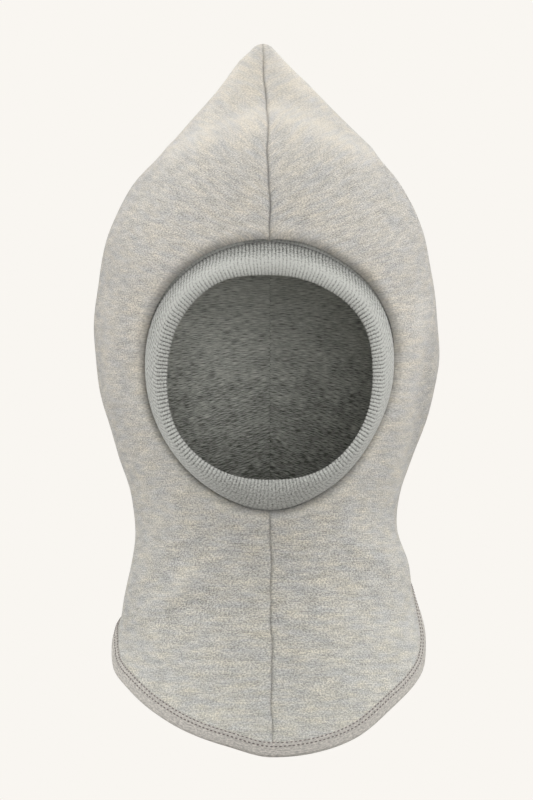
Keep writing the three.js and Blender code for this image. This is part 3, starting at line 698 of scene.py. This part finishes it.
def hem_rows(side, ways):
    """Points and normals of the panel's outer face at given ways above the hem, with the depths of both
    cloths there: rows along the hem from the back seam to the chin, a little closer at both ends, and
    columns up from the edge."""
    u = BACK_SHARE + (1 - BACK_SHARE) * (1 - np.cos(np.linspace(0, np.pi, HEM_STATIONS))) / 2
    u = HEM_CLOSER * u + (1 - HEM_CLOSER) * np.linspace(BACK_SHARE + 1e-6, 1, HEM_STATIONS)
    near, edge = (skin(side, *side_patch(side, u, np.full_like(u, v))) for v in (1 - HEM_SHARE, 1.0))
    along = np.gradient(edge, axis=0)
    line = edge - near
    line -= along * ((line * along).sum(1) / (along * along).sum(1))[:, None]
    reach = HEM_SHARE / np.maximum(np.linalg.norm(line, axis=1), SHORTEST_LINE)
    turn, z = side_patch(side, u[:, None], 1 - reach[:, None] * np.asarray(ways)[None, :])
    quads = grid_faces(*turn.shape)
    if side == "left":
        quads = quads[:, ::-1]
    turn, z = turn.ravel(), z.ravel()
    face = outer_face(side, turn, z, [quads], False)
    normal = point_normals(face, [quads]).reshape(HEM_STATIONS, -1, 3)
    normal[[0, -1], :, 0] = 0
    depth = pressed(side, turn, z, FLEECE, HEM_FLEECE) + GAP + pressed(side, turn, z, LINING, HEM_LINING)
    return face.reshape(normal.shape), unit(normal), depth.reshape(HEM_STATIONS, -1)


def strip_section(side):
    """The strip's closed sections on one side, with as many points in each."""
    ways = np.linspace(0, STRIP_WIDTH, 14)
    face, normal, depth = hem_rows(side, ways)
    down = unit(face[:, :1] - face[:, 1:2])

    def leg(out):
        return face + normal * out, face - normal * (depth[..., None] + out)

    shown, hidden = leg(strip_height(ways)[:, None])
    near_shown, near_hidden = leg(STRIP_GAP)
    middle, half = (shown[:, :1] + hidden[:, :1]) / 2, (shown[:, :1] - hidden[:, :1]) / 2
    bend = np.linspace(0, np.pi, 11)[1:-1, None]

    def fold(share, deep):
        return middle + share * half * np.cos(bend) + deep * down * np.sin(bend)

    inside = 1 - STRIP_THICK / np.linalg.norm(half, axis=-1, keepdims=True)
    outer = [shown[:, ::-1], fold(1, STRIP_THICK + FOLD_ROUND), hidden]
    inner = [near_hidden[:, ::-1], fold(inside, FOLD_HOLLOW)[:, ::-1], near_shown]
    return np.concatenate(outer + inner, 1)[:, ::-1]


def closed_loop(right, left):
    """Sections of both sides as one ring, with the two end sections averaged."""
    ends = (right[[0, -1]] + left[[0, -1]]) / 2
    return np.concatenate([ends[:1], right[1:-1], ends[1:], left[-2:0:-1]])


SEEN_POINT, STRIP_STEP = 8, 0.8
sections = closed_loop(strip_section("right"), strip_section("left"))
run = way_along(sections[:, SEEN_POINT])
strip_uv = np.stack(np.broadcast_arrays(run[:, None], np.arange(sections.shape[1]) * STRIP_STEP), -1)
hem_strip = ring_mesh("hem_strip_cloth", sections, strip_uv, run[-1] + run[1])

# %% [markdown]
# Two rows of small dark stitches hold the strip. A stitch is a little spindle lying in the cloth. One
# spindle is made once and copied along the hem with arrays, and all of them are joined in one piece,
# which keeps the object light.

# %% Stitches
STITCH_LENGTH, STITCH_RADIUS, STITCH_PITCH = 1.3, 0.32, 2.2
STITCH_ROWS = (3.9, 5.7)
BLUNTNESS = 0.6


def spindle(sides=6, rings=5):
    """A closed spindle of length 1 along x, x = -cos(t) / 2, and radius sin(t)^0.6, which is 1 at its
    middle."""
    t = np.linspace(0, np.pi, rings + 2)[1:-1, None]
    turn = np.arange(sides) * 2 * np.pi / sides
    radius = np.sin(t) ** BLUNTNESS
    rings_of_points = np.broadcast_arrays(-np.cos(t) / 2, radius * np.cos(turn), radius * np.sin(turn))
    body = np.stack(rings_of_points, -1).reshape(-1, 3)
    points = np.concatenate([body, [[-0.5, 0, 0], [0.5, 0, 0]]])
    j = np.arange(sides)
    k = (j + 1) % sides
    i = sides * np.arange(rings - 1)[:, None]
    quads = np.stack([i + k, i + sides + k, i + sides + j, i + j], -1).reshape(-1, 4)
    last, tips = (rings - 1) * sides, 0 * j + len(body)
    caps = np.concatenate([np.stack([tips, k, j], -1), np.stack([tips + 1, last + j, last + k], -1)])
    return points, quads, caps


def stitch_row(way):
    """Centres and axes of the stitches at one way above the hem edge, all round the hood."""
    faces, normals, _ = zip(*(hem_rows(side, (way - 0.4, way, way + 0.4)) for side in ("right", "left")))
    line = closed_loop(*(f[:, 1] + n[:, 1] * strip_height(way) for f, n in zip(faces, normals)))
    normal = closed_loop(*(n[:, 1] for n in normals))
    length = way_along(line)
    at = np.arange(0, length[-1], STITCH_PITCH)

    def taken(values, places):
        return np.stack([np.interp(places, length, column) for column in values.T], -1)

    centre = taken(line, at)
    ahead = taken(line, at + 0.5) - centre
    ahead[-1] = ahead[-2]
    x = unit(ahead)
    y = unit(np.cross(taken(normal, at), x))
    return centre, x, y, np.cross(x, y)


points, *faces = spindle()
rows = zip(*(stitch_row(way) for way in STITCH_ROWS))
centre, x, y, up = (np.concatenate(row)[:, None] for row in rows)
size = points * (STITCH_LENGTH, STITCH_RADIUS, STITCH_RADIUS)
laid = centre + size[:, :1] * x + size[:, 1:2] * y + size[:, 2:] * up
shift = (np.arange(len(laid)) * len(points))[:, None, None]
laid_faces = [(f + shift).reshape(-1, f.shape[1]) for f in faces]
stitches = make_mesh("hem_stitches", laid.reshape(-1, 3), laid_faces)
print("stitches:", len(laid))

# %% [markdown]
# The finishes are all cloth, and none is a flat colour. Shared effects are node groups: a plain knit
# relief, the mottled yarn, the shade between ribs and the fuzz of brushed wool. They read the piece's cloth
# coordinates, in metres, so that a stitch is as large as a real one on every piece. An output of a node is
# wrapped so that it can be reckoned with, and each effect reads as a formula.

# %% Node helpers
# Random textures: a spot's size in metres, its stretch along the first two coordinates, detail, roughness
# and a shift that tells two textures apart.
TEXTURES = {
    "streaks": (0.0038, 3.5, 0.75, 2, 0.55, 0),
    "spots": (0.011, 1.3, 1, 2, 0.5, 7),
    "specks": (0.00085, 1.1, 0.85, 1, 0.5, 3),
    "patches": (0.0036, 2.6, 0.85, 2, 0.6, 11),
    "fibres": (MM / 1.1, 1, 1, 4, 0.7, 0),
    "loose fibres": (MM / 0.35, 1, 1, 2, 0.5, 0),
    "uneven seam shade": (0.004, 1, 1, 2, 0.5, 6),
    "brushed jersey": (0.00075, 6.5, 0.65, 2, 0.6, 5),
    "blotches": (0.008, 2.5, 1, 2, 0.5, 2),
    "rib yarn": (0.0008, 0.6, 1, 1, 0.5, 9),
    "binding yarn": (0.0011, 1.7, 1, 3, 0.7, 4),
    "strands": (0.0004, 1, 1, 2, 0.5, 1),
}


def joined_by(operation):
    """A way to join a value with another value or a number: one maths node."""
    return lambda value, other: value.graph.math(operation, value, other)


class Value:
    """One output of a node, which can be reckoned with: a + b, a * b and the like."""

    def __init__(self, graph, socket):
        self.graph, self.socket = graph, socket

    __add__ = __radd__ = joined_by("ADD")
    __mul__ = __rmul__ = joined_by("MULTIPLY")
    __sub__, __truediv__, __pow__ = joined_by("SUBTRACT"), joined_by("DIVIDE"), joined_by("POWER")

    def __rsub__(self, other):
        return self.graph.math("SUBTRACT", other, self)

    def __abs__(self):
        return self.graph.math("ABSOLUTE", self)


class Graph:
    """A node tree with short ways to add nodes, whose inputs are values of the tree or plain ones."""

    def __init__(self, tree):
        self.tree = tree

    def fill(self, socket, value):
        """Links a value to an input, or sets the input to a plain one."""
        if isinstance(value, Value):
            self.tree.links.new(value.socket, socket)
        else:
            socket.default_value = value

    def add(self, kind, inputs=(), **settings):
        """A new node with its settings and inputs."""
        node = self.tree.nodes.new(kind)
        for key, value in settings.items():
            setattr(node, key, value)
        for key, value in dict(inputs).items():
            self.fill(node.inputs[key], value)
        return node

    def get(self, kind, output, inputs=(), **settings):
        """One output of a new node."""
        return Value(self, self.add(kind, inputs, **settings).outputs[output])

    def math(self, operation, *inputs):
        """One maths node."""
        return self.get("ShaderNodeMath", 0, enumerate(inputs), operation=operation)

    def parts(self, vector):
        """The three coordinates of a vector."""
        return [Value(self, part) for part in self.add("ShaderNodeSeparateXYZ", {0: vector}).outputs]

    def attribute(self, name):
        """A share that the mesh carries at each point."""
        return self.get("ShaderNodeAttribute", "Fac", attribute_name=name)

    def noise(self, vector, texture):
        """A random texture of the table, over a vector in metres."""
        size, wide, tall, detail, rough, shift = TEXTURES[texture]
        scale = (1 / (size * wide), 1 / (size * tall), 1 / size)
        to = {"Vector": vector, "Scale": scale, "Location": (shift, 2 * shift, shift)}
        moved = self.get("ShaderNodeMapping", 0, to)
        inputs = {"Vector": moved, "Scale": 1.0, "Detail": detail, "Roughness": rough}
        return self.get("ShaderNodeTexNoise", "Fac", inputs)

    def spread(self, value, low, high):
        """The value's range from low to high, drawn out to 0 to 1 and cut off there."""
        return self.get("ShaderNodeMapRange", "Result", {"Value": value, "From Min": low, "From Max": high})

    def blend(self, factor, a, b):
        """The colour a at 0 and b at 1."""
        return self.get("ShaderNodeMix", 2, {0: factor, 6: a, 7: b}, data_type="RGBA")

    def use(self, group, **inputs):
        """The output of a node group, with its inputs set by name."""
        return self.get("ShaderNodeGroup", 0, inputs, node_tree=bpy.data.node_groups[group])


def srgb(r, g, b):
    """The linear colour of an sRGB one from 0 to 255, with its alpha of 1."""
    c = np.array([r, g, b]) / 255
    linear = np.where(c <= 0.04045, c / 12.92, ((c + 0.055) / 1.055) ** 2.4)
    return (*(float(v) for v in linear), 1.0)


def new_group(name, inputs, output, kind="Float"):
    """A node group with one named output, and inputs given as name: default. One without default is a
    vector."""
    tree = bpy.data.node_groups.new(name, "ShaderNodeTree")
    for key, default in inputs.items():
        input_kind = "NodeSocketVector" if default is None else "NodeSocketFloat"
        socket = tree.interface.new_socket(key, in_out="INPUT", socket_type=input_kind)
        if default is not None:
            socket.default_value = default
    tree.interface.new_socket(output, in_out="OUTPUT", socket_type="NodeSocket" + kind)
    g = Graph(tree)
    entry = g.add("NodeGroupInput").outputs
    given = {key: Value(g, entry[key]) for key in inputs}
    return g, given, g.add("NodeGroupOutput").inputs[output]


print("textures:", len(TEXTURES))

# %% [markdown]
# Plain knit shows columns of small V shapes. Across a column the two legs are two bumps with a valley
# between, and along it the legs slant towards the middle, so a wave along the column is delayed by the
# distance from the column's middle.

# %% Knit relief
COURSES_A_STITCH, LEG_SLANT, LEG_RISE = 1.3, 1.1, 0.7

g, given, result = new_group("plain_knit", {"Cloth": None, "Stitch": 0.001}, "Height")
across, along, _ = g.parts(given["Cloth"])
from_middle = abs(g.math("FRACT", across / given["Stitch"]) - 0.5)
slanted = COURSES_A_STITCH * (along / given["Stitch"]) + LEG_SLANT * from_middle
leg = g.math("SINE", 2 * np.pi * from_middle)
wave = 0.5 * g.math("SINE", 2 * np.pi * slanted) + 0.5
g.fill(result, g.math("SQRT", leg) * (LEG_RISE * wave + 1 - LEG_RISE))
print("plain_knit nodes:", len(g.tree.nodes))

# %% [markdown]
# The fleece's yarn is spun from beige and blue-grey wool that isn't fully mixed, so it shows streaks along
# the rows of knitting, soft spots where the nap was brushed, and fine specks of single fibres. The darkness
# varies round one mean, less on the head, where the cloth is worn, than on the bib.

# %% Mottled yarn
BEIGE, GREY, SHADE = srgb(242, 237, 221), srgb(222, 222, 218), srgb(84, 84, 81)
WARM_BEIGE, WARM_GREY = srgb(243, 235, 220), srgb(222, 220, 216)
MEAN_MIXED, MEAN_DARK = 1.03, 0.93
SPECK_DEPTH, PATCH_DEPTH, GAP_DEPTH = 1.25, 0.52, 0.4

g, given, result = new_group(
    "mottled_yarn",
    {"Cloth": None, "Knit": 0.5, "Worn": 0.0, "Nap": 0.0, "Raised": 0.5, "Contrast": 0.5},
    "Color",
    "Color",
)
worn, warm_top_light = given["Worn"], given["Nap"]
streaks, spots, specks, patches = (
    g.noise(given["Cloth"], texture) for texture in ("streaks", "spots", "specks", "patches")
)
# The peak gets painted light, and a slightly warmer tint with it.
mixed = 0.55 * streaks + 0.45 * spots + 0.03 * worn + 0.06 * warm_top_light
tint = g.blend(g.spread(mixed, 0.4, 0.66), g.blend(worn, GREY, WARM_GREY), g.blend(worn, BEIGE, WARM_BEIGE))
dark = GAP_DEPTH * (1 - given["Knit"]) + SPECK_DEPTH * g.spread(specks, 0.35, 0.65)
dark += (PATCH_DEPTH + 0.04 * worn) * g.spread(patches, 0.36, 0.68)
dark = (dark - MEAN_MIXED) * (1.05 - 0.29 * worn) + MEAN_DARK
# Painted light on the peak and on fold ridges, painted shade in fold hollows.
shown = 0.84 + 0.22 * worn - 0.5 * warm_top_light - 0.55 * (given["Raised"] - 0.5)
g.fill(result, g.blend(dark * given["Contrast"] * shown, tint, SHADE))
print("mottled_yarn nodes:", len(g.tree.nodes))

# %% [markdown]
# The cuff's ribs have painted shade between them. Where the knit is stretched, above the brow, the ribs
# open up into a grid of ribs and rows, under painted shade from the fleece's lip. Along the sides of the
# rim they close up and stand out sharply. The cuff's first cloth coordinate counts the ribs, in
# thousandths.

# %% Shade between ribs
ROW_PITCH = 1.1 * MM
RIB_SHADE, OPEN_SHADE, RIM_SHADE = 0.5, 0.22, 0.5

g, given, result = new_group("rib_shade", {"Cloth": None, "Open": 0.0, "Rim": 0.0}, "Shade")
ribs, way_in, _ = g.parts(given["Cloth"])
ridge = g.math("SQRT", abs(g.math("COSINE", np.pi / MM * ribs)))
rows = 0.5 * g.math("SINE", 2 * np.pi / ROW_PITCH * way_in) + 0.5
sharp = RIB_SHADE + OPEN_SHADE * given["Open"] + RIM_SHADE * given["Rim"]
# Painted shade where the ribs show as a grid, in the band under the fleece's lip.
shaded_ground = given["Open"] * (0.52 - 0.3 * rows)
g.fill(result, 1 - (1 - ridge) * sharp - shaded_ground)
print("rib_shade nodes:", len(g.tree.nodes))

# %% [markdown]
# Brushed wool ends in a fuzz of loose fibres: a fine random relief with a coarser one under it.

# %% Fuzz of brushed wool
g, given, result = new_group("brushed_fuzz", {"Place": None}, "Height")
g.fill(result, g.noise(given["Place"], "fibres") + 0.6 * g.noise(given["Place"], "loose fibres"))
print("brushed_fuzz nodes:", len(g.tree.nodes))

# %% [markdown]
# Each finish is a function that gives a colour and a height. It reads the cloth coordinates and the place,
# both in metres. Effects that fade in over a stretch name its two ends: heights, distances from the middle,
# or ways in from the cuff's seam. Most of them are painted light and shade, so they are soft.

# %% Fleece
FLEECE_STITCH, FLEECE_KNIT = 0.0012, 0.35
WORN, WARM_TOP_LIGHT, UPPER, LOW_BIB = (-0.28, -0.1), (-0.02, 0.03), (-0.2, -0.07), (-0.24, -0.285)
BESIDE_BROW = (0.008, 0.03)
# The second colour is that of the painted shade beside the cuff and in the seams.
CONTRAST, PAINTED_SHADE_TONE = 0.43, srgb(96, 95, 91)


def fleece_finish(g, cloth_map, place):
    """Mottled yarn, with painted shade: by_cuff^6 (0.25 + top) beside the cuff, and by_seam times an uneven
    share in the seams."""
    across, _, height = g.parts(place)
    by_cuff, by_seam, raised = (g.attribute(name) for name in ("by_cuff", "by_seam", "raised"))
    # The first share is painted light on the peak.
    warm_top_light, upper = g.spread(height, *WARM_TOP_LIGHT), g.spread(height, *UPPER)
    knit = g.use("plain_knit", Cloth=cloth_map, Stitch=FLEECE_STITCH)
    # Calmer mottling beside the cuff makes it lighter: painted light against part of the real shade there.
    contrast = (CONTRAST - 0.045 * g.spread(height, *LOW_BIB)) * (1 - 0.3 * by_cuff)
    yarn = g.use(
        "mottled_yarn", Cloth=cloth_map, Knit=knit, Worn=g.spread(height, *WORN), Nap=warm_top_light, Raised=raised,
        Contrast=contrast,
    )
    # Painted shade beside the cuff, weaker right above the brow, and uneven painted shade in the seams,
    # weaker on fold ridges and on the peak.
    top = upper * (0.34 * g.spread(abs(across), *BESIDE_BROW) - 0.2)
    uneven = (1.3 * g.noise(place, "uneven seam shade") + 0.4) * (1.45 - 0.9 * raised)
    seam_shade = uneven * (0.2 + 0.3 * upper - 0.2 * warm_top_light)
    colour = g.blend(by_cuff**6 * (0.25 + top) + by_seam * seam_shade, yarn, PAINTED_SHADE_TONE)
    return colour, FLEECE_KNIT * knit + g.use("brushed_fuzz", Place=place)


# %% Lining
LINING_SEAM_X, SEAM_LINE, COURSE_SLOPE = 0.001, (0.0009, 0.0002), 0.3
INSIDE_LIT, LINING_TONES = (-0.18, -0.06), (srgb(94, 95, 90), srgb(212, 213, 205))


def lining_finish(g, cloth_map, place):
    """Brushed jersey whose courses slope by 0.3 of the distance from the seam in its middle. It has painted
    light towards the crown, and is darker in the seam's line."""
    across, _, height = g.parts(place)
    from_seam = abs(across - LINING_SEAM_X)
    rise = g.get("ShaderNodeCombineXYZ", 0, {1: COURSE_SLOPE * from_seam})
    courses = g.get("ShaderNodeVectorMath", 0, {0: cloth_map, 1: rise}, operation="ADD")
    brushed = g.noise(courses, "brushed jersey")
    tone = g.spread(brushed + 0.2 * g.noise(courses, "blotches"), 0.445, 0.755)
    tone += 0.54 * g.spread(height, *INSIDE_LIT) - 0.1 * g.spread(from_seam, *SEAM_LINE) - 0.26
    return g.blend(tone, *LINING_TONES), brushed


# %% Rib
ABOVE_BROW, AT_CHIN, LEFT_SIDE = (-0.112, -0.074), (-0.145, -0.175), (-0.04, -0.056)
FACE_MIDDLE_Z, BESIDE_FACE = -0.12, (0.055, 0.03)
FOOT, STRETCHED_IN_SHADE, LIT_RIM, ROLLED_RIM = (0.0045, 0.0015), (0.012, 0.0065), (0.0115, 0.014), (0.0135, 0.0155)
RIB_TONES = srgb(74, 75, 72), srgb(189, 190, 185)


def rib_finish(g, cloth_map, place):
    """Shaded ribs of speckled yarn, with painted shade at the foot, in the stretched band above the brow,
    under the chin and on the left side, and painted light on the rim above the brow."""
    across, _, height = g.parts(place)
    way_in = g.parts(cloth_map)[1]
    above_brow, at_chin = g.spread(height, *ABOVE_BROW), g.spread(height, *AT_CHIN)
    beside = g.spread(abs(height - FACE_MIDDLE_Z), *BESIDE_FACE)
    # A band near the seam, above the brow, gets painted shade under the fleece's lip, with the grid of ribs
    # and rows showing in it.
    open_in_shade = g.spread(way_in, *STRETCHED_IN_SHADE) * above_brow
    closed = g.spread(way_in, *ROLLED_RIM) * beside - 0.3 * at_chin
    tone = g.use("rib_shade", Cloth=cloth_map, Open=open_in_shade, Rim=closed)
    tone += 1.5 * (g.noise(cloth_map, "rib yarn") - 0.5)
    # Painted shade at the cuff's foot, less above the brow, and under the chin.
    tone += g.spread(way_in, *FOOT) * (0.16 * above_brow - 0.38) - 0.26 * at_chin
    # Painted light on the rim above the brow, and painted shade on the left side.
    tone += 0.08 * above_brow * g.spread(way_in, *LIT_RIM) - 0.13 * beside * g.spread(across, *LEFT_SIDE)
    return g.blend(tone, *RIB_TONES), g.use("brushed_fuzz", Place=place)


# %% Binding and thread
BINDING_STITCH, BINDING_KNIT = 0.0009, 0.5
BINDING_TONES = srgb(158, 155, 150), srgb(220, 215, 207)
THREAD_TONES = srgb(102, 95, 93), srgb(132, 124, 121)


def binding_finish(g, cloth_map, place):
    """Streaked jersey with its knit showing."""
    knit = g.use("plain_knit", Cloth=cloth_map, Stitch=BINDING_STITCH)
    tone = g.spread(g.noise(cloth_map, "binding yarn"), 0.34, 0.66)
    return g.blend(tone, *BINDING_TONES), BINDING_KNIT * knit + g.use("brushed_fuzz", Place=place)


def thread_finish(g, cloth_map, place):
    """Dark twisted thread, whose strands are both its tone and its relief."""
    strands = g.noise(place, "strands")
    return g.blend(strands, *THREAD_TONES), strands


# %% [markdown]
# Every finish goes on one rough shader with a little sheen, which stands for the nap that lights up where
# the cloth turns away from the eye. What differs is the colour and how deep the relief is.

# %% Finishes
ROUGHNESS, GLOSS, SHEEN_ROUGHNESS = 0.95, 0.15, 0.45
# The function, the sheen and the depth of the relief in metres.
FINISHES = {
    "fleece": (fleece_finish, 0.4, 0.0005),
    "lining": (lining_finish, 0.1, 0.0003),
    "rib": (rib_finish, 0.15, 0.00025),
    "binding": (binding_finish, 0.15, 0.0003),
    "thread": (thread_finish, 0.0, 0.0001),
}


def finish(name, pattern, sheen, relief):
    """A material with a rough cloth shader, whose colour and height come from the pattern."""
    material = bpy.data.materials.new(name)
    material.use_nodes = True
    g = Graph(material.node_tree)
    shader = next(n for n in g.tree.nodes if n.type == "BSDF_PRINCIPLED")
    shader.inputs["Roughness"].default_value = ROUGHNESS
    shader.inputs["Specular IOR Level"].default_value = GLOSS
    shader.inputs["Sheen Weight"].default_value = sheen
    shader.inputs["Sheen Roughness"].default_value = SHEEN_ROUGHNESS
    cloth_map = g.get("ShaderNodeUVMap", 0, uv_map="cloth")
    colour, height = pattern(g, cloth_map, g.get("ShaderNodeTexCoord", "Object"))
    bump = g.get("ShaderNodeBump", 0, {"Strength": 1.0, "Distance": relief, "Height": height})
    g.fill(shader.inputs["Base Color"], colour)
    g.fill(shader.inputs["Normal"], bump)
    print("finish", name, "nodes:", len(g.tree.nodes))
    return material


finishes = {name: finish(name, *row) for name, row in FINISHES.items()}

# %% Pieces in the frame
# A piece, the node that it replaces, its slot and its finish.
PIECES = (
    *((fleece_panels[side], "outer_panel_" + side, "fleece", "fleece") for side in SIDES),
    *((lining_panels[side], "lining_" + side, "lining", "lining") for side in SIDES),
    (rib_cuff, "face_rib", "rib", "rib"),
    (hem_strip, "hem_strip", "binding", "binding"),
    (stitches, None, "binding", "thread"),
)
for piece, node, slot, finish_name in PIECES:
    piece.data.materials.append(finishes[finish_name])
    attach(piece, "root")
    if node:
        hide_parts(node)
print("pieces:", len(PIECES))

# %% [markdown]
# Cut flat, a panel is about 240 mm wide and 370 mm long with rounded corners and a bite for the face, so it
# has about two thirds of that rectangle's area. The knit is pulled a little over the head.

# %% Cloths
print("cloths declared:", len(PIECES) - 1)

# %% [markdown]
# The photograph is a cut-out on a warm white ground, lit softly from all round with a little more light
# from the front right. The camera stands level with the middle of the hood, about 2.4 m away.

# %% Camera
# The lens and the sensor are in mm, the place is in metres.
LENS, SENSOR, CAMERA_PLACE = 216, 36, (-0.00075, -2.4, -0.13)
GROUND = srgb(249, 246, 241)

camera = bpy.data.objects.new("camera", bpy.data.cameras.new("camera"))
camera.data.lens, camera.data.sensor_width = LENS, SENSOR
camera.location = CAMERA_PLACE
camera.rotation_euler = (np.pi / 2, 0, 0)
bpy.context.scene.collection.objects.link(camera)
bpy.context.scene.camera = camera
bpy.context.scene.view_settings.view_transform = "Standard"
print("camera at", CAMERA_PLACE)

# %% Light
# Lamps: place and target in metres, side in metres, power in watts.
LAMPS = {
    "key": ((0.45, -1.1, 1.7), (0, 0, -0.1), 1.4, 22),
    "front": ((0.42, -2.7, -0.3), (0, 0, -0.12), 1.6, 53),
    "side_left": ((-1.9, 0.3, 0.0), (0, 0, -0.12), 1.6, 38),
    "side_right": ((1.9, 0.5, 0.0), (0, 0, -0.12), 1.6, 26),
    "top": ((0.0, 0.7, 1.9), (0, 0, -0.1), 1.6, 15),
}
SKY, SKY_STRENGTH = (1.0, 0.985, 0.96, 1), 0.28

world = bpy.data.worlds.new("studio")
world.use_nodes = True
bpy.context.scene.world = world
g = Graph(world.node_tree)
g.tree.nodes.clear()
seen = g.get("ShaderNodeBackground", 0, {"Color": GROUND, "Strength": 1.0})
lit = g.get("ShaderNodeBackground", 0, {"Color": SKY, "Strength": SKY_STRENGTH})
for_eye = g.get("ShaderNodeLightPath", "Is Camera Ray")
mixed = g.get("ShaderNodeMixShader", 0, {0: for_eye, 1: lit, 2: seen})
g.add("ShaderNodeOutputWorld", {"Surface": mixed})


def lamp(name, place, target, size, power):
    """A square area light at a place, turned to a target."""
    light = bpy.data.lights.new(name, "AREA")
    light.energy, light.size = power, size
    piece = bpy.data.objects.new(name, light)
    x, y, z = np.array(target, float) - place
    piece.rotation_euler = (np.arctan2(np.hypot(x, y), -z), 0, np.arctan2(-x, y))
    piece.location = place
    bpy.context.scene.collection.objects.link(piece)


for name, row in LAMPS.items():
    lamp(name, *row)
print("lamps:", len(LAMPS))

# %% [markdown]
# The floor is a wide disc. Further out than the eye needs it, it fades into the ground colour, so that no
# horizon shows. The eye sees it pale, while the hood gets a weaker bounce from it.

# %% Floor
# The disc is in mm, and the distances between which it fades are in metres.
FLOOR_Z, FLOOR_RADIUS, FLOOR_SIDES = -450, 30000, 64
FADE = (0.6, 1.3)
FLOOR_SEEN, FLOOR_LIT = (0.88, 0.86, 0.83, 1), (0.4, 0.39, 0.38, 1)

corner = np.arange(FLOOR_SIDES)
turn = 2 * np.pi * corner / FLOOR_SIDES
rim = np.stack([FLOOR_RADIUS * np.cos(turn), FLOOR_RADIUS * np.sin(turn), 0 * turn + FLOOR_Z], -1)
fan = np.stack([0 * corner, corner + 1, (corner + 1) % FLOOR_SIDES + 1], -1)
floor = make_mesh("floor", np.concatenate([[[0, 0, FLOOR_Z]], rim]), [fan])
pale = bpy.data.materials.new("floor")
pale.use_nodes = True
g = Graph(pale.node_tree)
g.tree.nodes.clear()
place = g.get("ShaderNodeTexCoord", "Object")
far = g.spread(g.get("ShaderNodeVectorMath", "Value", {0: place}, operation="LENGTH"), *FADE)
for_eye = g.get("ShaderNodeLightPath", "Is Camera Ray")
matt_seen = g.get("ShaderNodeBsdfDiffuse", 0, {"Color": FLOOR_SEEN})
matt_lit = g.get("ShaderNodeBsdfDiffuse", 0, {"Color": FLOOR_LIT})
matt = g.get("ShaderNodeMixShader", 0, {0: for_eye, 1: matt_lit, 2: matt_seen})
glow = g.get("ShaderNodeEmission", 0, {"Color": GROUND, "Strength": 1.0})
shown = g.get("ShaderNodeMixShader", 0, {0: far * for_eye, 1: matt, 2: glow})
g.add("ShaderNodeOutputMaterial", {"Surface": shown})
floor.data.materials.append(pale)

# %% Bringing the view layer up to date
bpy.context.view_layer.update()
